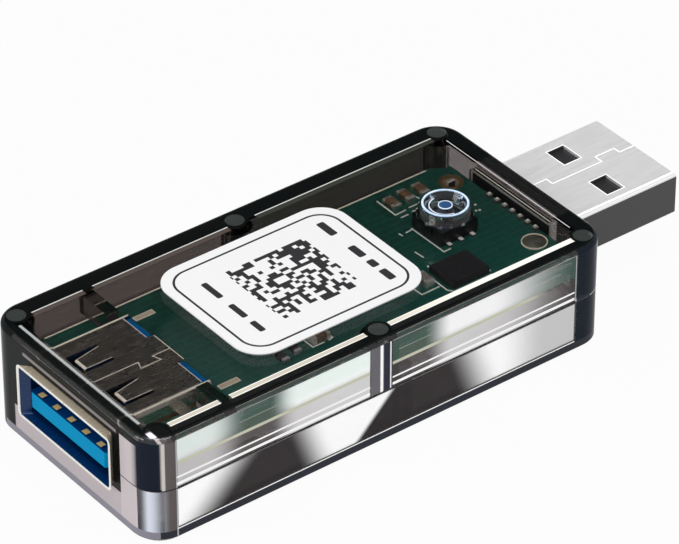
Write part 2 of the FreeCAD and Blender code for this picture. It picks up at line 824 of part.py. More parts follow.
# Metal shell of the socket, flared at the mouth, with spring fingers above and below.
socket_shell = new_body("socket_shell", y=socket_y)
socket_tube = new_sketch(socket_shell, "socket_tube", "YZ_Plane", socket_face)
socket_section(socket_tube, as_size(0))
socket_section(socket_tube, -d.socket_metal)
pad(socket_shell, socket_tube, d.socket_depth)
mouth = socket_face - d.socket_reach
for kind, name, grow in (
    ("AdditiveLoft", "flare_outside", as_size(0)),
    ("SubtractiveLoft", "flare_inside", -d.socket_metal),
):
    flare_root = new_sketch(socket_shell, f"{name}_root", "YZ_Plane", socket_face)
    socket_section(flare_root, grow)
    flare_front = new_sketch(socket_shell, f"{name}_front", "YZ_Plane", mouth)
    socket_section(flare_front, grow, 0, d.flare_side, d.flare_rise)
    loft(socket_shell, kind, name, flare_root, flare_front)
fingers = new_sketch(socket_shell, "fingers", offset=socket_top)
finger_root = socket_face + d.finger_root
finger_tip = socket_face + d.finger_tip
for shift in (as_size(0), -d.finger_spacing):
    add_polygon(
        fingers,
        [
            (finger_root, shift + d.finger_outer),
            (finger_tip - d.finger_gap, shift + d.finger_outer),
            (finger_tip - d.finger_gap, shift + d.finger_inner),
            (finger_root, shift + d.finger_inner),
            (finger_root, shift + d.finger_inner + d.finger_slot),
            (finger_tip, shift + d.finger_inner + d.finger_slot),
            (finger_tip, shift + d.finger_outer - d.finger_side_slot - d.finger_taper),
            (finger_root, shift + d.finger_outer - d.finger_side_slot),
        ],
    )
pocket(socket_shell, fingers, d.socket_height)
rear_notches = new_sketch(socket_shell, "rear_notches", offset=socket_top)
for side in (-1, 1):
    centre = d.notch_spread * side
    add_rectangle(
        rear_notches,
        socket_rear - d.notch_depth,
        socket_rear + d.notch_depth,
        centre - d.notch_width / 2,
        centre + d.notch_width / 2,
    )
pocket(socket_shell, rear_notches, d.socket_metal * 2)
socket_seam = new_sketch(socket_shell, "socket_seam", offset=socket_top)
dovetail_start = socket_face + d.dovetail_start
dovetail_end = dovetail_start + d.dovetail_length
dovetail_y = d.socket_seam_shift - d.dovetail_depth
dovetail_corners = [
    (mouth - d.wall, d.socket_seam_shift),
    (dovetail_start, d.socket_seam_shift),
    (dovetail_start - d.dovetail_slant, dovetail_y),
    (dovetail_end + d.dovetail_slant, dovetail_y),
    (dovetail_end, d.socket_seam_shift),
    (socket_rear + d.wall, d.socket_seam_shift),
]
add_polygon(socket_seam, thick_line(dovetail_corners, d.seam_width))
pocket(socket_shell, socket_seam, d.seam_depth)
tabs = new_sketch(socket_shell, "tabs", offset=board_top)
tab_end = socket_rear - d.tab_shift
tab_root = socket_half_width - d.socket_metal / 2
tab_tip = socket_half_width + d.tab_reach
add_rectangle(tabs, tab_end - d.tab_length, tab_end, tab_root, tab_tip)
add_rectangle(tabs, tab_end - d.tab_length, tab_end, -tab_tip, -tab_root)
pad(socket_shell, tabs, d.socket_metal)

# Contacts of the socket: five short pads at the front, and four long springs behind them.
tongue_front = mouth + d.tongue_setback
tongue_bottom = socket_bottom + d.socket_metal + d.tongue_clear_below
tongue_top = tongue_bottom + d.tongue_thickness
half_sheet = d.contact_thickness / 2
tail_x = socket_rear + d.bay_end_gap / 2
tail_end = bay_end + d.tail_reach
tail_height = board_bottom - half_sheet
neck = socket_rear - d.tail_overlap


def bent_contact(name, place, bends, width, neck_height):
    """A bent strip: wide where it touches the plug, narrow where it meets the board."""
    contact = new_body(name, y=socket_y + place)
    wide = new_sketch(contact, f"{name}_strip", "XZ_Plane")
    wide_path = bends + [(neck, neck_height)]
    add_polygon(wide, thick_line(wide_path, d.contact_thickness))
    pad(contact, wide, width, both_ways=True)
    tail = new_sketch(contact, f"{name}_tail", "XZ_Plane")
    tail_path = [
        (neck - d.tail_overlap / 2, neck_height),
        (tail_x, neck_height),
        (tail_x, tail_height),
        (tail_end, tail_height),
    ]
    add_polygon(tail, thick_line(tail_path, d.contact_thickness))
    pad(contact, tail, d.tail_width, both_ways=True)
    return contact


fast_front = tongue_front + d.fast_setback
fast_bend = fast_front + d.fast_contact_length
pad_height = tongue_top + half_sheet - d.contact_inset
fast_low = tongue_top - d.fast_depth
fast_places = [d.fast_pitch * step for step in (-2, -1, 0, 1, 2)]
fast_contacts = [
    bent_contact(
        f"socket_fast_contact_{number}",
        place,
        [(fast_front, pad_height), (fast_bend, pad_height), (fast_bend, fast_low)],
        d.fast_contact_width,
        fast_low,
    )
    for number, place in enumerate(fast_places, start=1)
]
spring_front = tongue_front + d.main_setback
spring_top = spring_front + d.main_ramp
spring_height = tongue_top + half_sheet
block_front = socket_rear - d.socket_block
socket_places = contact_places(d.main_inner_pitch, d.main_outer_pitch)
main_contacts = [
    bent_contact(
        f"socket_main_contact_{number}",
        place,
        [
            (spring_front, tongue_top + d.main_tip_rise),
            (spring_top, tongue_top + d.main_rise),
            (spring_top + d.main_flat, tongue_top + d.main_rise),
            (block_front, spring_height),
        ],
        d.main_contact_width,
        spring_height,
    )
    for number, place in enumerate(socket_places, start=1)
]

# Blue plastic inside the socket: a block at the rear and a tongue with bevelled front corners
socket_blank = new_body("socket_blank", y=socket_y)
socket_block = new_sketch(socket_blank, "socket_block", "YZ_Plane", block_front)
socket_section(socket_block, -d.socket_metal - d.moulding_gap)
pad(socket_blank, socket_block, d.socket_block)
socket_tongue = new_sketch(socket_blank, "socket_tongue", offset=tongue_bottom)
tongue_side = socket_half_width - d.socket_metal - d.tongue_side_gap
add_polygon(
    socket_tongue,
    [
        (block_front + d.tongue_corner, -tongue_side),
        (block_front + d.tongue_corner, tongue_side),
        (tongue_front + d.tongue_corner, tongue_side),
        (tongue_front, tongue_side - d.tongue_corner),
        (tongue_front, -tongue_side + d.tongue_corner),
        (tongue_front + d.tongue_corner, -tongue_side),
    ],
)
pad(socket_blank, socket_tongue, d.tongue_thickness)
socket_insulator = mould_round("socket_insulator", socket_blank, fast_contacts + main_contacts)

# Push button: a dished cap with a nub, held under the lid by a flange, on a stem.
push_button = new_body("push_button", x=button_x, y=button_y)
cap_profile = new_sketch(push_button, "cap_profile", "XZ_Plane")
base_top = board_top + d.switch_base_height
cover_top = base_top + d.switch_cover
plunger_top = cover_top + d.plunger_rise
flange_top = ceiling - d.flange_gap
flange_bottom = flange_top - d.flange_thickness
cap_top = d.case_height + d.cap_proud
dish_floor = cap_top - d.dish_depth
cap_radius = d.cap_diameter / 2
add_polygon(
    cap_profile,
    [
        (0, plunger_top),
        (d.stem_diameter / 2, plunger_top),
        (d.stem_diameter / 2, dish_floor - d.cap_floor),
        (cap_radius - d.cap_skirt, dish_floor - d.cap_floor),
        (cap_radius - d.cap_skirt, flange_bottom),
        (d.flange_diameter / 2, flange_bottom),
        (d.flange_diameter / 2, flange_top),
        (cap_radius, flange_top),
        (cap_radius, cap_top),
        (cap_radius - d.cap_rim, cap_top),
        (d.dish_floor_diameter / 2, dish_floor),
        (d.nub_diameter / 2, dish_floor),
        (d.nub_diameter / 2, dish_floor + d.nub_height),
        (0, dish_floor + d.nub_height),
    ],
)
revolve(push_button, cap_profile)

# Tactile switch under the button
switch_half = d.switch_side / 2
switch_base = new_body("switch_base", x=button_x, y=button_y, z=board_top)
base_outline = new_sketch(switch_base, "base_outline")
add_rectangle(base_outline, -switch_half, switch_half, -switch_half, switch_half)
pad(switch_base, base_outline, d.switch_base_height)
well = new_sketch(switch_base, "well", offset=d.switch_base_height)
add_circle(well, 0, 0, d.switch_well_diameter)
pocket(switch_base, well, d.switch_well_depth)

switch_cover = new_body("switch_cover", x=button_x, y=button_y, z=base_top)
cover_outline = new_sketch(switch_cover, "cover_outline")
add_rectangle(cover_outline, -switch_half, switch_half, -switch_half, switch_half)
add_circle(cover_outline, 0, 0, d.plunger_diameter + d.plunger_gap * 2)
pad(switch_cover, cover_outline, d.switch_cover)
clips = new_sketch(switch_cover, "clips", offset=d.switch_cover)
clip_half = d.switch_clip_width / 2
clip_outer = switch_half + d.switch_clip_thickness
add_rectangle(clips, switch_half, clip_outer, -clip_half, clip_half)
add_rectangle(clips, -clip_outer, -switch_half, -clip_half, clip_half)
pad(switch_cover, clips, d.switch_cover + d.switch_clip_drop, reverse=True)

switch_plunger = new_body("switch_plunger", x=button_x, y=button_y)
plunger_profile = new_sketch(switch_plunger, "plunger_profile", "XZ_Plane")
step_top = base_top - d.plunger_flange_gap
add_polygon(
    plunger_profile,
    [
        (0, step_top - d.plunger_flange_thickness),
        (d.plunger_flange_diameter / 2, step_top - d.plunger_flange_thickness),
        (d.plunger_flange_diameter / 2, step_top),
        (d.plunger_diameter / 2, step_top),
        (d.plunger_diameter / 2, plunger_top),
        (0, plunger_top),
    ],
)
revolve(switch_plunger, plunger_profile)

switch_dome = new_body(
    "switch_dome", x=button_x, y=button_y, z=base_top - d.switch_well_depth
)
dome_profile = new_sketch(switch_dome, "dome_profile", "XZ_Plane")
dome_radius = d.dome_diameter / 2
add_polygon(
    dome_profile,
    [
        (0, d.dome_rise - d.dome_thickness),
        (dome_radius * 0.85, 0),
        (dome_radius, 0),
        (dome_radius * 0.5, d.dome_rise),
        (0, d.dome_rise),
    ],
)
revolve(switch_dome, dome_profile)

switch_terminals = new_body("switch_terminals", x=button_x, y=button_y, z=board_top)
terminal_feet = new_sketch(switch_terminals, "terminal_feet")
for number in (-1, 0, 1):
    start = d.terminal_pitch * number - d.terminal_width / 2
    end = start + d.terminal_width
    add_rectangle(terminal_feet, start, end, switch_half, switch_half + d.terminal_reach)
    add_rectangle(terminal_feet, start, end, -switch_half - d.terminal_reach, -switch_half)
pad(switch_terminals, terminal_feet, d.terminal_thickness)

# Chips and small parts on the board
chip_bodies = []
for chip_name in chips:
    reach, y, length, width, height = [
        getattr(d, f"{chip_name}_{measure}")
        for measure in ("reach", "y", "length", "width", "height")
    ]
    x = board_half_length - reach if chip_name in chips_by_plug else socket_rear + reach
    chip = new_body(chip_name, x=x, y=y, z=board_top)
    chip_outline = new_sketch(chip, f"{chip_name}_outline")
    add_rectangle(chip_outline, -length / 2, length / 2, -width / 2, width / 2)
    pad(chip, chip_outline, height)
    soften(chip, f"{chip_name}_bevel", "Chamfer", d.chip_edge, "Z", height)
    chip_bodies.append(chip)

doc.recompute()

pieces = [
    upper_shell,
    lower_shell,
    label,
    circuit_board,
    plated_rings,
    pin_joints,
    plug_shell,
    plug_insulator,
    *plug_contacts,
    socket_shell,
    socket_insulator,
    *fast_contacts,
    *main_contacts,
    push_button,
    switch_base,
    switch_cover,
    switch_plunger,
    switch_dome,
    switch_terminals,
    *chip_bodies,
]

faulty = [item.Name for item in doc.Objects if {"Invalid", "Error"} & set(item.State)]
if faulty:
    raise RuntimeError(f"These did not recompute: {faulty}")
for item in doc.Objects:
    if item.TypeId == "PartDesign::Pocket" and item.Shape.Volume >= item.BaseFeature.Shape.Volume:
        raise RuntimeError(f"{item.Name} takes nothing away")
for piece in pieces:
    if piece.Shape.isNull() or not piece.Shape.isValid() or not piece.Shape.Solids:
        raise RuntimeError(f"{piece.Label} has no sound solid")

os.makedirs("parts", exist_ok=True)
for piece in pieces:
    piece.Shape.exportStep(f"parts/{piece.Label}.step")
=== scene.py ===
import bpy
import numpy as np
from math import cos, pi, radians, sin
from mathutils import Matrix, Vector


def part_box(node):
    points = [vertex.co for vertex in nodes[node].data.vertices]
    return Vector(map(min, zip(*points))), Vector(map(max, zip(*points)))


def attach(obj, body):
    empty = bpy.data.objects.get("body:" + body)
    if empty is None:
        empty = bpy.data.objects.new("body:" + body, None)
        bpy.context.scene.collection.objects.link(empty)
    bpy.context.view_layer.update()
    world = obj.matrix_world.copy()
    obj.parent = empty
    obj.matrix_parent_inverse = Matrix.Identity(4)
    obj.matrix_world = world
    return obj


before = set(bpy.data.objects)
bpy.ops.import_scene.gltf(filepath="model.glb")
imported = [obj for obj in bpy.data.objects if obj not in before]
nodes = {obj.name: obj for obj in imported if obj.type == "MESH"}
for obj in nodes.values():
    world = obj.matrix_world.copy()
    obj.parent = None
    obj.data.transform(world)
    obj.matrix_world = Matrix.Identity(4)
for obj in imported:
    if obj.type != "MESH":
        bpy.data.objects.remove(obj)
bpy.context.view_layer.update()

# Casing. Two smoke-clear polycarbonate mouldings, polished outside, that meet half way up.
# The upper one carries the bored posts and the ribs, the lower one the pegs, the lip and the
# supports; they are pressed together over the pegs. The tint makes long ways through a wall dark.


def new_material(name):
    """A material that holds only its output, and its node tree."""
    material = bpy.data.materials.new(name)
    material.use_nodes = True
    tree = material.node_tree
    tree.nodes.clear()
    tree.nodes.new("ShaderNodeOutputMaterial")
    return material, tree


def add_node(tree, kind, **settings):
    """One node of a kind; settings with a value name an input or a property."""
    node = tree.nodes.new(kind)
    for name, value in settings.items():
        label = name.replace("_", " ")
        if hasattr(node, name):
            setattr(node, name, value)
        else:
            node.inputs[label].default_value = value
    return node


def set_surface(tree, shader):
    """Joins a shader to the material's output and returns the output."""
    output = next(n for n in tree.nodes if n.type == "OUTPUT_MATERIAL")
    tree.links.new(shader.outputs[0], output.inputs["Surface"])
    return output


def principled(tree, **values):
    """A Principled shader joined to the output, with its inputs set by their names."""
    shader = tree.nodes.new("ShaderNodeBsdfPrincipled")
    for name, value in values.items():
        shader.inputs[name.replace("_", " ")].default_value = value
    set_surface(tree, shader)
    return shader


def object_position(tree):
    return tree.nodes.new("ShaderNodeTexCoord").outputs["Object"]


def true_normal(tree):
    return tree.nodes.new("ShaderNodeNewGeometry").outputs["True Normal"]


def split(tree, source):
    """The x, y and z parts of a vector."""
    parts = tree.nodes.new("ShaderNodeSeparateXYZ")
    tree.links.new(source, parts.inputs[0])
    return parts.outputs


def dress(node, material):
    """Puts one material on a node of the frame."""
    piece = nodes[node]
    if not piece.material_slots:
        piece.data.materials.append(material)
    for item in piece.material_slots:
        item.link = "OBJECT"
        item.material = material


def math_node(tree, operation, *sources):
    """One sum of values or sockets."""
    item = tree.nodes.new("ShaderNodeMath")
    item.operation = operation
    for socket, source in zip(item.inputs, sources):
        if isinstance(source, (int, float)):
            socket.default_value = source
        else:
            tree.links.new(source, socket)
    return item.outputs[0]


def times(tree, first, second):
    return math_node(tree, "MULTIPLY", first, second)


def below(tree, value, limit):
    return math_node(tree, "LESS_THAN", value, limit)


def above(tree, value, limit):
    return math_node(tree, "GREATER_THAN", value, limit)


def mix_colours(tree, factor, first, second):
    """The first colour where the factor is 0, the second where it is 1."""
    item = tree.nodes.new("ShaderNodeMix")
    item.data_type = "RGBA"
    for socket, source in ((item.inputs[0], factor), (item.inputs[6], first), (item.inputs[7], second)):
        if isinstance(source, bpy.types.NodeSocket):
            tree.links.new(source, socket)
        else:
            socket.default_value = source
    return item.outputs[2]


def mix_shaders(tree, factor, first, second):
    """The first shader where the factor is 0, the second where it is 1."""
    item = tree.nodes.new("ShaderNodeMixShader")
    for socket, source in zip(item.inputs, (factor, first.outputs[0], second.outputs[0])):
        tree.links.new(source, socket)
    return item


def pass_shadows(tree, shader, tint):
    """Lets shadow rays through with a tint, while every other ray meets the shader."""
    ray = tree.nodes.new("ShaderNodeLightPath")
    clear = add_node(tree, "ShaderNodeBsdfTransparent", Color=tint)
    return set_surface(tree, mix_shaders(tree, ray.outputs["Is Shadow Ray"], shader, clear))


def noise_at(tree, position, scale, detail):
    noise = add_node(tree, "ShaderNodeTexNoise", Scale=scale, Detail=detail)
    tree.links.new(position, noise.inputs["Vector"])
    return noise.outputs[0]


def mottle(tree, shader, scale, detail, dark, light, glows=False):
    """Feeds the base colour, and the glow if it glows, by noise between two colours."""
    noise = noise_at(tree, object_position(tree), scale, detail)
    colour = mix_colours(tree, noise, dark, light)
    tree.links.new(colour, shader.inputs["Base Color"])
    if glows:
        tree.links.new(colour, shader.inputs["Emission Color"])
    return noise


def bump(tree, shader, height, strength, distance):
    item = add_node(tree, "ShaderNodeBump", Strength=strength, Distance=distance)
    tree.links.new(height, item.inputs["Height"])
    tree.links.new(item.outputs[0], shader.inputs["Normal"])


def smooth_step(tree, value, start, end):
    """0 up to the start and 1 from the end on, as 3t^2 - 2t^3; a start past the end turns it round."""
    item = tree.nodes.new("ShaderNodeMapRange")
    item.interpolation_type = "SMOOTHSTEP"
    item.inputs["From Min"].default_value = min(start, end)
    item.inputs["From Max"].default_value = max(start, end)
    item.inputs["To Min"].default_value = 0.0 if start < end else 1.0
    item.inputs["To Max"].default_value = 1.0 if start < end else 0.0
    tree.links.new(value, item.inputs["Value"])
    return item.outputs[0]


def span(tree, value, low, high, rise, fall):
    """1 between two values, rising over the first width inside and falling over the last."""
    up = smooth_step(tree, value, low, low + rise)
    down = smooth_step(tree, value, high, high - fall)
    return times(tree, up, down)


def both(tree, *masks):
    """The product of masks: 1 only where all of them are."""
    total = masks[0]
    for mask in masks[1:]:
        total = times(tree, total, mask)
    return total


def either(tree, *masks):
    """The greatest of masks: 1 where any of them is."""
    total = masks[0]
    for mask in masks[1:]:
        total = math_node(tree, "MAXIMUM", total, mask)
    return total


CASING_TINT = (0.50, 0.46, 0.455, 1.0)
CASING_ABSORPTION = 740.0
HALF_LENGTH, HALF_WIDTH, CASE_TOP, PARTING = 26.6, 12.7, 11.75, 5.95
POST_ROWS = (-24.6, 0.3, 24.6)
POST_SIDE = 10.95
CORNER_RADIUS, CORNER_START = 2.95, 23.65
CORNER_SIDE = CORNER_RADIUS - HALF_WIDTH

casing, tree = new_material("smoke_clear_polycarbonate")
shell = principled(
    tree,
    Base_Color=(1.0, 1.0, 1.0, 1.0),
    Metallic=0.0,
    Roughness=0.015,
    IOR=1.585,
    Transmission_Weight=1.0,
)
bump(tree, shell, noise_at(tree, object_position(tree), 120.0, 1.0), 0.02, 0.0004)

# A layer over the clear plastic paints light and shade on it: painted highlights, glints and pale
# patches of light, painted views of the board and walls behind, and painted black shade where the wall
# looks dark; the painted colour also glows. Places are in millimetres, as in the drawing.
millimetres = add_node(tree, "ShaderNodeVectorMath", operation="SCALE")
millimetres.inputs["Scale"].default_value = 1000.0
tree.links.new(object_position(tree), millimetres.inputs[0])
x, y, z = split(tree, millimetres.outputs[0])
face_x, face_y, face_z = split(tree, true_normal(tree))


def away_from(tree, value, middle):
    return math_node(tree, "ABSOLUTE", math_node(tree, "SUBTRACT", value, middle))


def line_at(tree, value, middle, half):
    """A thin line: 1 at the middle value, 0 from the half width on."""
    return smooth_step(tree, away_from(tree, value, middle), half * 1.3, half * 0.7)


front = both(tree, below(tree, y, -HALF_WIDTH + 0.6), below(tree, face_y, -0.978))
left_end = both(tree, below(tree, x, -HALF_LENGTH + 0.1), below(tree, face_x, -0.97))
lid = both(tree, above(tree, z, CASE_TOP - 0.05), above(tree, face_z, 0.9))
above_parting = above(tree, z, PARTING)
leaning = math_node(tree, "SUBTRACT", x, z)
falling = math_node(tree, "ADD", x, times(tree, z, 0.35))
front_run = span(tree, x, -23.85, 22.5, 0.2, 0.2)
pane_height = span(tree, z, 6.0, 11.4, 0.1, 0.1)
window_height = span(tree, z, 1.45, PARTING - 0.1, 0.3, 0.1)
upper_panes = either(tree, span(tree, x, -23.85, -1.9, 0.2, 0.15), span(tree, x, 0.55, 22.4, 0.15, 0.15))
# Painted light: pale patches on the near face above the parting, stronger from the board's level up.
upper_light = either(
    tree,
    times(tree, span(tree, x, -25.5, -15.8, 0.5, 4.6), 0.80),
    span(tree, x, -13.4, -1.8, 3.4, 0.1),
    times(tree, span(tree, x, 4.2, 22.5, 3.4, 10.5), 0.97),
)
board_level = times(tree, smooth_step(tree, z, 8.6, 9.5), 0.28)
upper_light = times(tree, upper_light, math_node(tree, "ADD", board_level, 0.70))
upper_light = both(tree, upper_light, upper_panes, span(tree, z, 6.05, 11.45, 0.1, 0.1))
# Painted light: pale patches on the near face below the parting.
lower_light = either(
    tree,
    smooth_step(tree, leaning, -19.8, -26.2),
    both(tree, smooth_step(tree, falling, -9.4, -5.2), smooth_step(tree, leaning, -4.6, -5.6)),
    both(
        tree,
        smooth_step(tree, falling, 9.0, 14.4),
        math_node(tree, "SUBTRACT", 1.0, times(tree, smooth_step(tree, x, 13.0, 19.0), 0.42)),
    ),
)
lower_light = both(tree, lower_light, front_run, window_height)
# Painted highlights: thin white glint lines along the near face, beside the middle post and near the foot,
# and a cream line where the board's edge shows through.
ledge_glints = either(tree, line_at(tree, z, 7.15, 0.09), line_at(tree, z, 6.42, 0.15))
upper_lines = both(tree, ledge_glints, upper_panes)
post_line = either(tree, line_at(tree, x, -0.62, 0.16), line_at(tree, x, 0.42, 0.06))
front_lines = either(
    tree,
    upper_lines,
    both(tree, post_line, pane_height),
    both(tree, line_at(tree, z, 1.38, 0.06), span(tree, x, -23.85, 22.6, 0.2, 0.2)),
)
board_line = both(tree, upper_panes, line_at(tree, z, 8.75, 0.17), span(tree, x, -23.85, 19.5, 0.2, 3.0))
# Colours of the painted light: green-tinged high up on the left half, and purple-grey lower down away from
# the middle post.
upper_light_tint = times(tree, smooth_step(tree, z, 8.8, 10.2), 0.55)
upper_light_tint = both(tree, upper_light_tint, below(tree, x, 4.0))
lower_light_tint = times(tree, span(tree, z, 6.6, 8.8, 0.4, 0.4), 0.75)
off_post = either(tree, smooth_step(tree, x, -6.0, -12.0), smooth_step(tree, x, 8.0, 14.0))
lower_light_tint = both(tree, lower_light_tint, off_post)
# Painted shade on the near face: a black brow under the top edge, a dark window below the parting, and a
# dark column at the middle post.
brow = both(tree, front, above(tree, z, 11.45))
low_window = both(tree, front_run, window_height)
post_column = both(tree, span(tree, x, -1.95, 0.5, 0.1, 0.1), pane_height)
pale, dark_blue, purple_grey = (0.93, 0.93, 0.93, 1.0), (0.006, 0.010, 0.018, 1.0), (0.15, 0.14, 0.16, 1.0)
pink_grey, black_green = (0.47, 0.42, 0.435, 1.0), (0.004, 0.005, 0.005, 1.0)
# Painted on the lid: a black band of painted shade over the walls, painted highlight bars and lines along
# the inner edges, a painted highlight at the near left corner, and painted dark views of the far wall.
band = either(
    tree,
    below(tree, y, -11.2),
    above(tree, y, 10.42),
    below(tree, x, -25.5),
    above(tree, x, 24.7),
)
bar = either(
    tree,
    *(span(tree, x, low, high, 0.1, 0.1) for low, high in ((-23.3, -17.6), (-16.5, -1.1), (1.5, 23.5)))
)
bar_edges = both(tree, bar, either(tree, line_at(tree, y, -10.66, 0.05), line_at(tree, y, -11.19, 0.05)))
bar = both(tree, bar, line_at(tree, y, -10.92, 0.28))
far_line = either(
    tree,
    *(span(tree, x, low, high, 0.1, 0.1) for low, high in ((-23.3, -17.5), (-16.5, -0.9), (2.2, 23.5)))
)
wall_seen = both(tree, far_line, span(tree, y, 9.6, 10.5, 0.3, 0.05))
wall_left = both(tree, wall_seen, below(tree, x, 0.0))
wall_right = both(tree, wall_seen, above(tree, x, 0.0))
far_line = both(tree, far_line, line_at(tree, y, 10.44, 0.06))
far_inside = both(tree, above(tree, y, 10.4), below(tree, face_y, -0.5), above_parting)
right_ridge = both(tree, line_at(tree, x, 23.6, 0.05), span(tree, y, -7.6, 4.0, 0.3, 0.3))
corner_spark = both(tree, span(tree, x, -25.75, -25.05, 0.15, 0.2), span(tree, y, -11.9, -10.6, 0.3, 0.4))
left_line = both(tree, line_at(tree, x, -25.25, 0.16), span(tree, y, -9.3, 9.5, 0.1, 0.1))
right_line = both(tree, line_at(tree, x, 24.45, 0.05), span(tree, y, -9.3, 9.3, 0.1, 0.1))
# Painted over each post on the lid: a black ring of painted shade, a dark disc and a faint rim.
flat = add_node(tree, "ShaderNodeVectorMath", operation="MULTIPLY")
flat.inputs[1].default_value = (1.0, 1.0, 0.0)
tree.links.new(millimetres.outputs[0], flat.inputs[0])
post_away = None
for row in POST_ROWS:
    for side in (-POST_SIDE, POST_SIDE):
        spot = add_node(tree, "ShaderNodeVectorMath", operation="DISTANCE")
        tree.links.new(flat.outputs[0], spot.inputs[0])
        spot.inputs[1].default_value = (row, side, 0.0)
        away = spot.outputs["Value"]
        post_away = away if post_away is None else math_node(tree, "MINIMUM", post_away, away)
post_ring = smooth_step(tree, post_away, 1.30, 1.18)
post_disc = smooth_step(tree, post_away, 0.86, 0.78)
off_corner = above(tree, math_node(tree, "ADD", x, y), -34.0)
post_disc = both(tree, post_disc, off_corner)
post_rim = both(tree, line_at(tree, post_away, 0.88, 0.04), off_corner)
# Painted on the left end and the corners: black painted shade, pale painted light below the socket and on
# its near side, painted shade and light round the corner roundings with glint lines, a painted light and
# dark band along the foot, and painted highlight lines round the near face's panes.
left_right = below(tree, y, -8.0)
under_socket = both(tree, below(tree, z, 3.9), smooth_step(tree, y, 8.9, 8.6))
over_socket = both(tree, span(tree, z, 10.3, 10.75, 0.08, 0.08), span(tree, y, -7.6, 7.2, 0.2, 0.2))
corner = both(
    tree,
    below(tree, x, -CORNER_START),
    below(tree, y, CORNER_SIDE),
    span(tree, z, 0.5, 11.3, 0.1, 0.1),
)
far_corner = both(tree, below(tree, x, -CORNER_START), above(tree, y, 8.8))
right_corner = both(tree, above(tree, x, 22.6), below(tree, y, CORNER_SIDE))
around = times(tree, math_node(tree, "ADD", x, CORNER_START), 1.0 / CORNER_RADIUS)
around_right = times(tree, math_node(tree, "SUBTRACT", x, CORNER_START), 1.0 / CORNER_RADIUS)
right_glint = both(tree, line_at(tree, around_right, 0.72, 0.05), below(tree, z, 11.2))
foot = below(tree, z, 1.3)
low_edge = both(tree, foot, either(tree, front, left_end, corner, right_corner))
corner_dark = both(tree, corner, span(tree, around, -1.01, -0.50, 0.05, 0.05), above_parting)
corner_light = both(
    tree, corner, span(tree, around, -1.01, -0.25, 0.20, 0.55), below(tree, z, PARTING - 0.1)
)
corner_glint = both(tree, corner, line_at(tree, around, -0.45, 0.05), above_parting)
corner_grey = both(tree, corner, span(tree, around, -0.50, 0.02, 0.10, 0.03))
pane_outline = either(
    tree,
    both(tree, line_at(tree, z, 11.35, 0.08), upper_panes),
    both(tree, line_at(tree, x, 22.45, 0.06), pane_height),
    both(tree, line_at(tree, x, -23.75, 0.07), span(tree, z, 0.5, 11.3, 0.1, 0.1)),
)

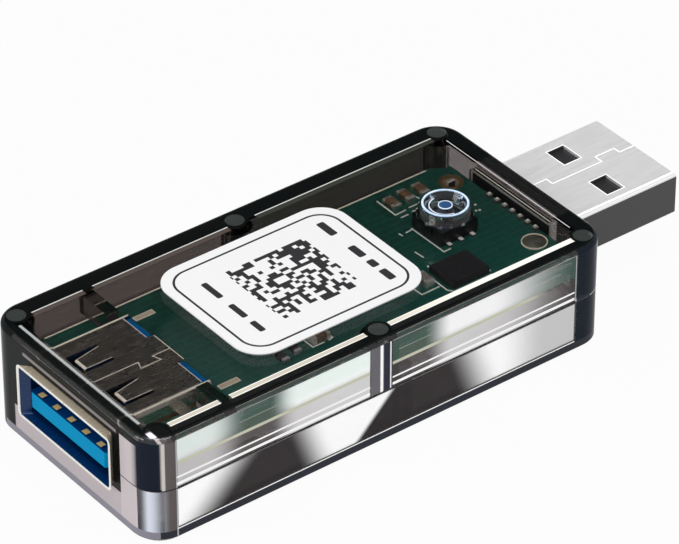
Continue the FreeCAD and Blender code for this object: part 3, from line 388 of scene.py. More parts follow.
# Each layer has its mask, its colour and how much of the clear plastic it covers; later ones lie on top.
# All layers but the last are painted light and shade: black painted shade, painted highlights, glints and
# patches of light, and painted views of what lies behind the walls. The last is the dark joint at the
# parting.
layers = (
    (both(tree, lid, band), black_green, 0.93),
    (both(tree, lid, bar), (0.50, 0.465, 0.39, 1.0), 0.95),
    (both(tree, lid, bar, smooth_step(tree, x, -4.0, 14.0)), (0.80, 0.78, 0.70, 1.0), 0.95),
    (both(tree, lid, bar_edges), (0.80, 0.80, 0.76, 1.0), 0.95),
    (both(tree, lid, wall_left), (0.070, 0.056, 0.050, 1.0), 0.92),
    (both(tree, lid, wall_right), (0.034, 0.038, 0.031, 1.0), 0.90),
    (both(tree, far_inside, below(tree, x, 0.0)), (0.17, 0.14, 0.125, 1.0), 0.60),
    (both(tree, far_inside, above(tree, x, 0.0)), (0.046, 0.050, 0.042, 1.0), 0.78),
    (both(tree, lid, either(tree, far_line, right_line)), (0.62, 0.62, 0.60, 1.0), 0.85),
    (both(tree, lid, right_ridge), (0.42, 0.40, 0.34, 1.0), 0.8),
    (both(tree, lid, left_line), (0.36, 0.38, 0.38, 1.0), 0.85),
    (both(tree, lid, post_ring), black_green, 0.96),
    (both(tree, lid, corner_spark), (0.90, 0.89, 1.0, 1.0), 0.95),
    (both(tree, lid, post_disc), (0.034, 0.040, 0.038, 1.0), 0.85),
    (both(tree, lid, post_rim), (0.060, 0.066, 0.066, 1.0), 0.6),
    (left_end, black_green, 0.95),
    (both(tree, left_end, under_socket), pink_grey, 0.80),
    (both(tree, left_end, over_socket), (0.20, 0.19, 0.19, 1.0), 0.9),
    (both(tree, left_end, left_right, below(tree, z, 10.6)), pink_grey, 0.95),
    (both(tree, far_corner, below(tree, face_z, 0.9)), black_green, 0.94),
    (brow, black_green, 0.9),
    (both(tree, front, upper_panes, span(tree, z, 6.05, 8.8, 0.1, 0.1)), (0.060, 0.048, 0.050, 1.0), 0.6),
    (both(tree, front, upper_panes, span(tree, z, 8.8, 11.45, 0.1, 0.1)), (0.050, 0.110, 0.088, 1.0), 0.6),
    (both(tree, front, upper_light), pale, 1.0),
    (both(tree, front, upper_light, upper_light_tint), (0.66, 0.82, 0.75, 1.0), 1.0),
    (both(tree, front, upper_light, lower_light_tint), (0.52, 0.48, 0.49, 1.0), 1.0),
    (both(tree, front, board_line), (0.60, 0.60, 0.46, 1.0), 0.8),
    (both(tree, front, post_column), purple_grey, 0.8),
    (both(tree, front, post_column, span(tree, x, -0.42, 0.34, 0.1, 0.1)), (0.014, 0.018, 0.036, 1.0), 0.9),
    (both(tree, front, low_window), (0.024, 0.020, 0.021, 1.0), 0.93),
    (both(tree, front, lower_light), pale, 1.0),
    (both(tree, right_corner, below(tree, face_z, 0.9)), dark_blue, 0.96),
    (corner_grey, (0.105, 0.090, 0.090, 1.0), 0.85),
    (corner_dark, dark_blue, 0.97),
    (corner_light, (0.66, 0.70, 0.80, 1.0), 0.8),
    (corner_glint, (0.55, 0.52, 0.50, 1.0), 0.9),
    (both(tree, low_edge, below(tree, face_x, -0.6)), (0.22, 0.21, 0.25, 1.0), 0.9),
    (both(tree, low_edge, above(tree, face_x, -0.6)), (0.022, 0.025, 0.036, 1.0), 0.85),
    (both(tree, right_corner, right_glint), (0.55, 0.56, 0.56, 1.0), 0.9),
    (both(tree, right_corner, line_at(tree, z, PARTING, 0.05)), (0.45, 0.46, 0.46, 1.0), 0.9),
    (both(tree, front, line_at(tree, z, 0.45, 0.06)), (0.40, 0.40, 0.42, 1.0), 0.9),
    (both(tree, front, pane_outline), (0.46, 0.47, 0.48, 1.0), 0.8),
    (both(tree, front, front_lines), pale, 1.0),
    (both(tree, either(tree, front, left_end, corner), line_at(tree, z, PARTING, 0.05)), black_green, 0.95),
)
colour, cover = None, None
for mask, paint, strength in layers:
    if cover is None:
        colour = mix_colours(tree, mask, paint, paint)
        cover = times(tree, mask, strength)
        continue
    colour = mix_colours(tree, mask, colour, paint)
    kept = times(tree, cover, math_node(tree, "SUBTRACT", 1.0, mask))
    cover = math_node(tree, "ADD", kept, times(tree, mask, strength))
painted_light_skin = tree.nodes.new("ShaderNodeBsdfPrincipled")
painted_light_skin.inputs["Roughness"].default_value = 0.04
painted_light_skin.inputs["IOR"].default_value = 1.585
painted_light_skin.inputs["Specular IOR Level"].default_value = 0.05
# The painted colour feeds the glow as well: painted light.
painted_light_skin.inputs["Emission Strength"].default_value = 0.42
tree.links.new(colour, painted_light_skin.inputs["Base Color"])
tree.links.new(colour, painted_light_skin.inputs["Emission Color"])
smoke = add_node(tree, "ShaderNodeVolumeAbsorption", Color=CASING_TINT, Density=CASING_ABSORPTION)
output = pass_shadows(tree, mix_shaders(tree, cover, shell, painted_light_skin), (0.93, 0.92, 0.92, 1.0))
tree.links.new(smoke.outputs[0], output.inputs["Volume"])
for node in ("upper_shell", "lower_shell"):
    dress(node, casing)

# Label. White satin paper with a thin black border and plain printed marks, stuck on the lid.
# The marks are bars and a patch of blocks worked out by the shader, with nothing to read.

label_paper, tree = new_material("label_paper")
paper = principled(tree, Roughness=0.45)
where = object_position(tree)


def rounded_box_group():
    """Signed distance from a rounded rectangle in the XY plane: below zero is inside.

    With q = |p - centre| - half + radius, the distance is |max(q, 0)| + min(max(qx, qy), 0) - radius.
    """
    group = bpy.data.node_groups.new("rounded_box_distance", "ShaderNodeTree")
    face = group.interface
    face.new_socket("Position", in_out="INPUT", socket_type="NodeSocketVector")
    face.new_socket("Centre", in_out="INPUT", socket_type="NodeSocketVector")
    face.new_socket("Half", in_out="INPUT", socket_type="NodeSocketVector")
    face.new_socket("Radius", in_out="INPUT", socket_type="NodeSocketFloat")
    face.new_socket("Distance", in_out="OUTPUT", socket_type="NodeSocketFloat")
    start = group.nodes.new("NodeGroupInput")
    end = group.nodes.new("NodeGroupOutput")
    join = group.links.new

    def vector(operation, *sources):
        item = group.nodes.new("ShaderNodeVectorMath")
        item.operation = operation
        for socket, source in zip(item.inputs, sources):
            if isinstance(source, tuple):
                socket.default_value = source
            else:
                join(source, socket)
        return item.outputs["Value" if operation == "LENGTH" else "Vector"]

    def number(operation, *sources):
        item = group.nodes.new("ShaderNodeMath")
        item.operation = operation
        for socket, source in zip(item.inputs, sources):
            if isinstance(source, (int, float)):
                socket.default_value = source
            else:
                join(source, socket)
        return item.outputs[0]

    flat = vector("MULTIPLY", start.outputs["Position"], (1.0, 1.0, 0.0))
    away = vector("ABSOLUTE", vector("SUBTRACT", flat, start.outputs["Centre"]))
    spread = group.nodes.new("ShaderNodeCombineXYZ")
    join(start.outputs["Radius"], spread.inputs[0])
    join(start.outputs["Radius"], spread.inputs[1])
    q = vector("ADD", vector("SUBTRACT", away, start.outputs["Half"]), spread.outputs[0])
    parts = group.nodes.new("ShaderNodeSeparateXYZ")
    join(q, parts.inputs[0])
    outside = vector("LENGTH", vector("MAXIMUM", q, (0.0, 0.0, 0.0)))
    inside = number("MINIMUM", number("MAXIMUM", parts.outputs[0], parts.outputs[1]), 0.0)
    join(
        number("SUBTRACT", number("ADD", outside, inside), start.outputs["Radius"]),
        end.inputs["Distance"],
    )
    return group


box_distance = rounded_box_group()


def distance_to_box(tree, position, centre, half, radius):
    """Distance from a rounded rectangle on the XY plane, in metres."""
    item = tree.nodes.new("ShaderNodeGroup")
    item.node_tree = box_distance
    tree.links.new(position, item.inputs["Position"])
    item.inputs["Centre"].default_value = (centre[0], centre[1], 0.0)
    item.inputs["Half"].default_value = (half[0], half[1], 0.0)
    item.inputs["Radius"].default_value = radius
    return item.outputs[0]


LABEL_CENTRE = (-0.00135, 0.0)
LABEL_INSET = 0.0011
frame_line = distance_to_box(
    tree, where, LABEL_CENTRE, (0.01045 - LABEL_INSET, 0.00815 - LABEL_INSET), 0.0022
)
border = below(tree, math_node(tree, "ABSOLUTE", frame_line), 0.00012)
ink = border
for centre, half in (
    ((0.0062, -0.0048), (0.00042, 0.0009)),
    ((0.0062, -0.0026), (0.00042, 0.0006)),
    ((0.0062, -0.0002), (0.00042, 0.0010)),
    ((0.0062, 0.0044), (0.00042, 0.0012)),
    ((-0.0082, -0.0040), (0.00033, 0.0009)),
    ((-0.0082, -0.0010), (0.00033, 0.0012)),
    ((-0.0082, 0.0030), (0.00033, 0.0014)),
):
    bar = below(tree, distance_to_box(tree, where, centre, half, 0.0002), 0.0)
    ink = math_node(tree, "MAXIMUM", ink, bar)
patch = math_node(
    tree, "LESS_THAN", distance_to_box(tree, where, (-0.0011, 0.0), (0.0046, 0.0046), 0.0), 0.0
)
cells = tree.nodes.new("ShaderNodeVectorMath")
cells.operation = "SNAP"
cells.inputs[1].default_value = (0.00046, 0.00046, 1.0)
tree.links.new(where, cells.inputs[0])
chance = add_node(tree, "ShaderNodeTexWhiteNoise", noise_dimensions="3D")
tree.links.new(cells.outputs[0], chance.inputs["Vector"])
blocks = times(tree, above(tree, chance.outputs[0], 0.52), patch)
ink = math_node(tree, "MAXIMUM", ink, blocks)
fibre = noise_at(tree, where, 9000.0, 3.0)
white = mix_colours(tree, fibre, (0.86, 0.86, 0.865, 1.0), (0.93, 0.93, 0.93, 1.0))
tree.links.new(mix_colours(tree, ink, white, (0.010, 0.010, 0.012, 1.0)), paper.inputs["Base Color"])
bump(tree, paper, fibre, 0.08, 0.00003)
pass_shadows(tree, paper, (0.80, 0.80, 0.80, 1.0))
dress("label", label_paper)

# Circuit board. Glass-fibre laminate under a dark green solder mask, with copper tracks below it
# that show as lighter lines; the cut edges are the bare cream laminate. It rests on six supports.

board, tree = new_material("solder_mask")
mask = principled(tree, Roughness=0.28, Coat_Weight=0.5, Coat_Roughness=0.08)
where = object_position(tree)
parts = split(tree, where)
tracks = add_node(
    tree, "ShaderNodeTexBrick", Scale=1.0, Mortar_Size=0.00012, Brick_Width=0.0042, Row_Height=0.0009
)
tracks.offset = 0.37
tracks.squash = 0.6
tree.links.new(where, tracks.inputs["Vector"])
pour = noise_at(tree, where, 260.0, 2.0)
green = mix_colours(tree, pour, (0.006, 0.068, 0.048, 1.0), (0.011, 0.100, 0.072, 1.0))
tracked = mix_colours(tree, tracks.outputs["Fac"], green, (0.013, 0.115, 0.084, 1.0))
# Painted light: the mask is painted lighter towards the near side.
near_side_light = smooth_step(tree, parts[1], 0.008, -0.010)
tracked = mix_colours(tree, times(tree, near_side_light, 0.45), tracked, (0.014, 0.170, 0.135, 1.0))
side = both(tree, below(tree, parts[2], 0.00797), above(tree, parts[2], 0.00713))
tree.links.new(mix_colours(tree, side, tracked, (0.62, 0.52, 0.33, 1.0)), mask.inputs["Base Color"])
bump(tree, mask, tracks.outputs["Fac"], 0.3, 0.00003)
dress("circuit_board", board)

# Gold plating, solder and printed marks on the board. The rings line the plated holes, the joints
# are reflowed tin, and the white lines are screen printed round the parts.

gold, tree = new_material("gold_plating")
plating = principled(tree, Metallic=1.0, Roughness=0.3)
mottle(tree, plating, 1500.0, 3.0, (0.70, 0.48, 0.20, 1.0), (0.92, 0.72, 0.40, 1.0))
dress("plated_rings", gold)
for family, count in (("plug_contact", 4), ("socket_main_contact", 4)):
    for number in range(1, count + 1):
        dress(f"{family}_{number}", gold)
pale_gold, tree = new_material("pale_gold_plating")
# The pads glow a little in their own colour: painted light.
plating = principled(tree, Metallic=0.45, Roughness=0.4, Specular_IOR_Level=0.2, Emission_Strength=0.12)
wear = noise_at(tree, object_position(tree), 2200.0, 3.0)
flashed = mix_colours(tree, wear, (0.70, 0.50, 0.16, 1.0), (0.95, 0.78, 0.38, 1.0))
parts = split(tree, object_position(tree))
first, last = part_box("socket_fast_contact_1"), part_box("socket_fast_contact_5")
middle = (first[0][1] + first[1][1]) / 2
pitch = ((last[0][1] + last[1][1]) / 2 - middle) / 4
steps = math_node(tree, "DIVIDE", math_node(tree, "SUBTRACT", parts[1], middle), pitch)
off_middle = math_node(tree, "ABSOLUTE", math_node(tree, "SUBTRACT", steps, math_node(tree, "ROUND", steps)))
pad = both(
    tree,
    below(tree, off_middle, 0.00036 / abs(pitch)),
    span(tree, parts[0], first[0][0] + 0.00002, first[0][0] + 0.00066, 0.00004, 0.00004),
)
flashed = mix_colours(tree, pad, (0.0, 0.03, 0.13, 1.0), flashed)
tree.links.new(flashed, plating.inputs["Base Color"])
tree.links.new(flashed, plating.inputs["Emission Color"])
tree.links.new(times(tree, pad, 0.35), plating.inputs["Metallic"])
for number in range(1, 6):
    dress(f"socket_fast_contact_{number}", pale_gold)

solder, tree = new_material("reflowed_solder")
tin = principled(tree, Metallic=0.7, Roughness=0.25, Emission_Strength=0.5)
bump(tree, tin, noise_at(tree, object_position(tree), 2500.0, 2.0), 0.3, 0.00004)
# Painted light and shade: the crown is painted near white and the flanks painted dark, and the tin glows.
facing = split(tree, true_normal(tree))
crown = smooth_step(tree, facing[2], 0.6, 0.9)
flank_shade = mix_colours(tree, crown, (0.06, 0.06, 0.055, 1.0), (0.95, 0.94, 0.88, 1.0))
tree.links.new(flank_shade, tin.inputs["Base Color"])
tree.links.new(flank_shade, tin.inputs["Emission Color"])
for node in ("pin_joints", "switch_terminals"):
    dress(node, solder)


def new_piece(name, points, faces, material, body="housing", smooth=True):
    """A mesh object from arrays of points and faces, riding on a body."""
    mesh = bpy.data.meshes.new(name)
    mesh.from_pydata(np.asarray(points, dtype=float).tolist(), [], np.asarray(faces).tolist())
    mesh.polygons.foreach_set("use_smooth", np.full(len(mesh.polygons), smooth))
    mesh.update()
    piece = bpy.data.objects.new(name, mesh)
    bpy.context.scene.collection.objects.link(piece)
    mesh.materials.append(material)
    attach(piece, body)


def ribbon(path, width, low, high):
    """A flat line of one width along a path, with square ends.

    Each point moves sideways by half the width along the mitre of its two neighbours, and the
    outline goes from the low to the high level, closed all round.
    """
    path = np.asarray(path, dtype=float)
    steps = np.diff(path, axis=0)
    steps /= np.linalg.norm(steps, axis=1)[:, None]
    before = np.vstack([steps[:1], steps])
    after = np.vstack([steps, steps[-1:]])
    normal = np.stack([-(before + after)[:, 1], (before + after)[:, 0]], axis=1)
    normal /= np.linalg.norm(normal, axis=1)[:, None]
    side = np.stack([-after[:, 1], after[:, 0]], axis=1)
    stretch = width / 2 / np.maximum((normal * side).sum(axis=1), 0.3)
    left = path + normal * stretch[:, None]
    right = path - normal * stretch[:, None]
    count = len(path)
    levels = []
    for row, level in ((left, low), (right, low), (right, high), (left, high)):
        levels.append(np.column_stack([row, np.full(count, level)]))
    points = np.stack(levels, axis=1).reshape(-1, 3)
    i = np.arange(count - 1)[:, None] * 4
    k = np.arange(4)[None, :]
    faces = np.stack([i + k, i + (k + 1) % 4, i + 4 + (k + 1) % 4, i + 4 + k], axis=-1).reshape(-1, 4)
    ends = np.array([[3, 2, 1, 0], [0, 1, 2, 3]]) + np.array([[0], [4 * (count - 1)]])
    return points, np.vstack([faces, ends])


def gather(shapes):
    """Several meshes as one, with the faces of each counted on from the one before."""
    start = 0
    points, faces = [], []
    for shape_points, shape_faces in shapes:
        points.append(shape_points)
        faces.append(shape_faces + start)
        start += len(shape_points)
    return np.vstack(points), np.vstack(faces)


BOARD_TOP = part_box("circuit_board")[1][2]
screen_white, tree = new_material("screen_print")
# The print glows a little as well: painted light.
print_ink = principled(tree, Roughness=0.5, Emission_Strength=0.35)
mottle(tree, print_ink, 6000.0, 2.0, (0.66, 0.70, 0.64, 1.0), (0.90, 0.92, 0.88, 1.0), True)
PRINT_WIDTH = 0.00014
printed_lines = (
    [(15.18, 2.96), (15.24, -1.95), (16.1, -1.91)],
    [(15.37, 8.5), (15.36, 5.6), (16.69, 5.68)],
    [(17.14, 5.8), (18.57, 5.8)],
    [(11.63, -4.4), (11.61, -6.91), (12.0, -7.5), (16.6, -7.5)],
    [(9.2, -4.0), (9.3, -6.08), (11.4, -6.05)],
    [(-3.72, -4.8), (-3.72, -6.4), (-2.4, -6.42)],
    [(-2.9, -4.8), (-1.34, -4.8), (-1.36, -6.3), (-1.9, -6.42)],
    [(15.5, 4.93), (16.4, 4.94)],
    [(17.0, 5.12), (17.6, 5.0)],
    [(13.69, 3.0), (13.77, 2.46)],
    [(14.32, 2.68), (15.12, 2.77)],
    [(13.04, -0.3), (13.14, -1.48)],
    [(18.77, 6.9), (18.89, 6.4)],
)
printed_dots = (
    (12.6, -2.91),
    (16.72, -6.9),
    (16.31, -0.52),
    (16.74, 0.02),
    (22.47, 2.3),
    (21.89, 1.49),
    (22.25, 1.36),
    (20.8, 1.6),
    (16.16, 2.78),
)


def flat_disc(centre, radius, low, high, sides=10):
    """A low prism: a ring of points at one radius, at two levels, with both ends closed."""
    turn = np.linspace(0.0, 2.0 * pi, sides, endpoint=False)
    ring = np.column_stack([centre[0] + radius * np.cos(turn), centre[1] + radius * np.sin(turn)])
    points = np.vstack(
        [np.column_stack([ring, np.full(sides, level)]) for level in (low, high)]
        + [[(centre[0], centre[1], low), (centre[0], centre[1], high)]]
    )
    i = np.arange(sides)
    k = (i + 1) % sides
    walls = np.vstack([np.stack([i, k, k + sides], 1), np.stack([i, k + sides, i + sides], 1)])
    under = np.stack([k, i, np.full(sides, 2 * sides)], 1)
    over = np.stack([i + sides, k + sides, np.full(sides, 2 * sides + 1)], 1)
    return points, np.vstack([walls, under, over])


PRINT_TOP = BOARD_TOP + 0.00002
print_shapes = [
    ribbon(np.array(line) * 0.001, PRINT_WIDTH, BOARD_TOP, PRINT_TOP) for line in printed_lines
]
points, faces = gather(print_shapes)
new_piece("printed_lines", points, faces, screen_white, smooth=False)
dots = [flat_disc(np.array(dot) * 0.001, 0.00014, BOARD_TOP, PRINT_TOP) for dot in printed_dots]
points, faces = gather(dots)
new_piece("printed_dots", points, faces, screen_white, smooth=False)


def outline_path(low_x, high_x, low_y, high_y):
    """The closed path round a rectangle, in metres from millimetres, started half way along a side."""
    middle = (low_x + high_x) / 2
    corners = [(high_x, low_y), (high_x, high_y), (low_x, high_y), (low_x, low_y)]
    return np.array([(middle, low_y), *corners, (middle, low_y)]) * 0.001


# Bare laminate shows as a cream line along the board's two long edges, where the mask stops short.
laminate, tree = new_material("bare_laminate")
# The laminate glows a little, as painted light, wherever it is used.
bare = principled(tree, Roughness=0.6, Emission_Strength=0.35)
mottle(tree, bare, 4000.0, 2.0, (0.66, 0.60, 0.46, 1.0), (0.92, 0.88, 0.76, 1.0), True)
edges = [
    ribbon(np.array([(start, side), (end, side)]) * 0.001, 0.00016, BOARD_TOP, PRINT_TOP)
    for side in (-9.7, 9.7)
    for start, end in ((-22.4, -1.9), (2.5, 22.3))
]
points, faces = gather(edges)
new_piece("board_edge_lines", points, faces, laminate, smooth=False)

# The two slots by the socket are filled with solder to the brim, and the near leg of the plug is
# under a low dome of it.
SLOT_X, SLOT_HALF_LENGTH, SLOT_HALF_WIDTH = -13.1, 0.95, 0.175
SLOT_ROWS = (7.05, -6.15)
SLOT_RIM_LENGTH, SLOT_RIM_WIDTH = 1.06, 0.28
NEAR_LEG = (0.0230, -0.0059)
slot_tin, tree = new_material("slot_solder")
# The solder in the slots glows a little: painted light.
filled = principled(tree, Metallic=0.2, Roughness=0.4, Emission_Strength=0.25)
mottle(tree, filled, 3000.0, 3.0, (0.50, 0.43, 0.32, 1.0), (0.74, 0.68, 0.56, 1.0), True)
fills = [
    ribbon(
        np.array([(SLOT_X - SLOT_HALF_LENGTH, row), (SLOT_X + SLOT_HALF_LENGTH, row)]) * 0.001,
        SLOT_HALF_WIDTH * 0.002,
        BOARD_TOP,
        BOARD_TOP + 0.00006,
    )
    for row in SLOT_ROWS
]
points, faces = gather(fills)
new_piece("slot_solder", points, faces, slot_tin, smooth=False)
# Cream rims round the slots, in the laminate that glows.
rims = [
    ribbon(
        outline_path(
            SLOT_X - SLOT_RIM_LENGTH, SLOT_X + SLOT_RIM_LENGTH, row - SLOT_RIM_WIDTH, row + SLOT_RIM_WIDTH
        ),
        0.0001,
        BOARD_TOP,
        BOARD_TOP + 0.00007,
    )
    for row in SLOT_ROWS
]
points, faces = gather(rims)
new_piece("slot_rims", points, faces, laminate, smooth=False)


def dome(centre, radius, height, rings=8, sides=36):
    """A low dome: at each ring of radius r the level is height * (1 - (r / radius)^2)."""
    reach = np.linspace(1.0, 0.0, rings + 1)[:-1]
    turn = np.linspace(0.0, 2.0 * pi, sides, endpoint=False)
    grid_x = centre[0] + radius * np.outer(reach, np.cos(turn))
    grid_y = centre[1] + radius * np.outer(reach, np.sin(turn))
    grid_z = centre[2] + height * (1.0 - reach[:, None] ** 2) + 0.0 * grid_x
    points = np.stack([grid_x, grid_y, grid_z], axis=-1).reshape(-1, 3)
    points = np.vstack([points, [(centre[0], centre[1], centre[2] + height)]])
    i, j = np.meshgrid(np.arange(rings - 1), np.arange(sides), indexing="ij")
    k = (j + 1) % sides
    low, high = i * sides, (i + 1) * sides
    sheets = np.stack([low + j, low + k, high + k, low + j, high + k, high + j], -1).reshape(-1, 3)
    last = (rings - 1) * sides
    j = np.arange(sides)
    tip = np.stack([last + j, last + (j + 1) % sides, np.full(sides, rings * sides)], 1)
    return points, np.vstack([sheets, tip])


dull_tin, tree = new_material("dull_solder")
dulled = principled(tree, Metallic=0.35, Roughness=0.22)
# A dark green-grey mottle, which also feeds the bump.
dome_mottle = mottle(tree, dulled, 1400.0, 3.0, (0.045, 0.062, 0.050, 1.0), (0.26, 0.27, 0.21, 1.0))
bump(tree, dulled, dome_mottle, 0.5, 0.00008)
points, faces = dome((*NEAR_LEG, BOARD_TOP + 0.00005), 0.00118, 0.0004)
new_piece("near_leg_solder", points, faces, dull_tin)

# Small parts on the board. Black epoxy chips, tan ceramic capacitors with tinned ends, a stamped
# metal can and a barrel diode, all soldered flat on the board.

EPOXY_PARTS = ("wifi_chip", "flash_chip", "regulator", "load_switch", "inductor")
epoxy, tree = new_material("chip_epoxy")
resin = principled(tree, Roughness=0.42)
filler = mottle(tree, resin, 8000.0, 3.0, (0.010, 0.010, 0.013, 1.0), (0.032, 0.032, 0.038, 1.0))
bump(tree, resin, filler, 0.25, 0.00002)
for node in EPOXY_PARTS:
    dress(node, epoxy)


def two_ended(node, middle, ends, reach):
    """A chip's material: the body's colour in the middle and tin at the two ends of its long axis."""
    low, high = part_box(node)
    centre = [(a + b) / 2 for a, b in zip(low, high)]
    half = [(b - a) / 2 for a, b in zip(low, high)]
    axis = 0 if half[0] > half[1] else 1
    material, tree = new_material(node)
    shader = principled(tree, Roughness=0.35)
    place = split(tree, object_position(tree))
    away = math_node(tree, "ABSOLUTE", math_node(tree, "SUBTRACT", place[axis], centre[axis]))
    end = above(tree, away, half[axis] - reach)
    tree.links.new(mix_colours(tree, end, middle, ends), shader.inputs["Base Color"])
    tree.links.new(times(tree, end, 0.9), shader.inputs["Metallic"])
    dress(node, material)


for number in range(1, 7):
    two_ended(f"capacitor_{number}", (0.20, 0.13, 0.07, 1), (0.86, 0.82, 0.74, 1), 0.00042)
for number in range(1, 5):
    two_ended(f"resistor_{number}", (0.02, 0.02, 0.022, 1), (0.8, 0.8, 0.77, 1), 0.00028)
two_ended("status_led", (0.75, 0.75, 0.68, 1), (0.8, 0.8, 0.77, 1), 0.0003)
two_ended("diode", (0.30, 0.28, 0.25, 1), (0.85, 0.85, 0.82, 1), 0.0004)

can, tree = new_material("stamped_can")
principled(tree, Base_Color=(0.62, 0.62, 0.60, 1.0), Metallic=1.0, Roughness=0.33)
for node in ("crystal", "switch_dome"):
    dress(node, can)
dark_cover, tree = new_material("blackened_cover")
principled(tree, Base_Color=(0.05, 0.05, 0.05, 1.0), Metallic=1.0, Roughness=0.3)
dress("switch_cover", dark_cover)
white_ceramic, tree = new_material("white_ceramic")
principled(tree, Base_Color=(0.72, 0.72, 0.68, 1.0), Roughness=0.4)
dress("chip_antenna", white_ceramic)

# Plug. A tube folded from bright sheet steel with a seam on top and windows on both faces, round
# a black moulding with four gold contacts. Fine lines run along it from the rolling.


def brushed_steel(name, dark, light, roughness, along, metallic=1.0):
    """Rolled sheet: noise drawn out along one axis moves the colour and the roughness a little."""
    material, tree = new_material(name)
    metal = principled(tree, Metallic=metallic, Roughness=roughness)
    stretch = tree.nodes.new("ShaderNodeVectorMath")
    stretch.operation = "MULTIPLY"
    stretch.inputs[1].default_value = along
    tree.links.new(object_position(tree), stretch.inputs[0])
    lines = noise_at(tree, stretch.outputs[0], 1.0, 4.0)
    tree.links.new(mix_colours(tree, lines, dark, light), metal.inputs["Base Color"])
    spread = add_node(tree, "ShaderNodeMapRange")
    spread.inputs["To Min"].default_value = roughness * 0.75
    spread.inputs["To Max"].default_value = roughness * 1.25
    tree.links.new(lines, spread.inputs["Value"])
    tree.links.new(spread.outputs[0], metal.inputs["Roughness"])
    bump(tree, metal, lines, 0.12, 0.00002)
    return material, tree, metal


def repaint(tree, metal, mask, colour):
    """Lays a colour over what already feeds the metal's base colour, where the mask is 1."""
    source = metal.inputs["Base Color"].links[0].from_socket
    tree.links.new(mix_colours(tree, mask, source, colour), metal.inputs["Base Color"])


plug_steel, tree, metal = brushed_steel(
    "plug_steel", (0.90, 0.90, 0.90, 1), (0.98, 0.98, 0.98, 1), 0.42, (250.0, 2500.0, 2500.0), 0.55
)
# Painted shade: the faces along the near side are painted dark grey.
facing = split(tree, true_normal(tree))
flank = smooth_step(tree, facing[1], -0.85, -0.95)
repaint(tree, metal, flank, (0.088, 0.088, 0.090, 1.0))
dress("plug_shell", plug_steel)

# Painted highlights: glowing white lines along the pressed seam, the rims of the windows and the fold along
# the near side.
PLUG_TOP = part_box("plug_shell")[1][2]
plug_highlight, tree = new_material("plug_edge_highlight")
edge = principled(tree, Roughness=0.3, Emission_Strength=0.45)
mottle(tree, edge, 900.0, 2.0, (0.86, 0.86, 0.86, 1.0), (1.0, 1.0, 1.0, 1.0), True)
seam_x = (26.8, 30.3, 30.3, 36.5, 36.5, 38.9, 38.9, 40.7)
seam_y = (1.15, 1.15, 0.2, 0.2, 1.2, 1.2, 0.4, 0.4)
WINDOW_START, WINDOW_END, WINDOW_ROWS, WINDOW_HALF = 33.215, 35.385, (-3.1, 3.3), 1.385
paths = [(np.column_stack([seam_x, seam_y]) * 0.001, 0.00010)]
for row in WINDOW_ROWS:
    paths.append((outline_path(WINDOW_START, WINDOW_END, row - WINDOW_HALF, row + WINDOW_HALF), 0.00008))
paths.append((np.array([(26.8, -5.42), (40.66, -5.42)]) * 0.001, 0.00026))
bright_lines = [ribbon(path, width, PLUG_TOP - 0.0001, PLUG_TOP + 0.00001) for path, width in paths]
points, faces = gather(bright_lines)
new_piece("plug_bright_lines", points, faces, plug_highlight, smooth=False)
black_moulding, tree = new_material("black_moulding")
principled(tree, Base_Color=(0.012, 0.012, 0.014, 1.0), Roughness=0.4)
for node in ("plug_insulator", "switch_base", "switch_plunger"):
    dress(node, black_moulding)

# Socket. A flared tube of warm nickel-plated steel with spring fingers cut in its faces, round a
# bright blue moulding whose tongue carries five short and four long gold contacts.

socket_steel, tree, metal = brushed_steel(
    "socket_steel", (0.72, 0.71, 0.64, 1), (0.86, 0.85, 0.77, 1), 0.26, (500.0, 2500.0, 2500.0)
)
parts = split(tree, object_position(tree))
facing = split(tree, true_normal(tree))
outward = math_node(
    tree,
    "ADD",
    times(tree, facing[2], math_node(tree, "SUBTRACT", parts[2], 0.0070)),
    times(tree, facing[1], math_node(tree, "ADD", parts[1], 0.0003)),
)
# Painted on the shell: the inner faces of the mouth in dark navy painted shade, its front edge a near-white
# painted highlight, and the flare's outer faces a darker tan; all three lose some of their metal.
mouth_edge_highlight = both(tree, below(tree, parts[0], -0.02735), below(tree, facing[0], -0.5))
mouth_inner_shade = below(tree, outward, -0.0002)
flare = both(tree, below(tree, parts[0], -0.0266), above(tree, outward, 0.0))
repaint(tree, metal, flare, (0.66, 0.57, 0.43, 1.0))
repaint(tree, metal, mouth_inner_shade, (0.0, 0.026, 0.11, 1.0))
repaint(tree, metal, mouth_edge_highlight, (0.98, 0.96, 0.90, 1.0))
dulled = either(tree, times(tree, either(tree, mouth_inner_shade, mouth_edge_highlight), 0.9), times(tree, flare, 0.45))
tree.links.new(math_node(tree, "SUBTRACT", 1.0, dulled), metal.inputs["Metallic"])
dress("socket_shell", socket_steel)

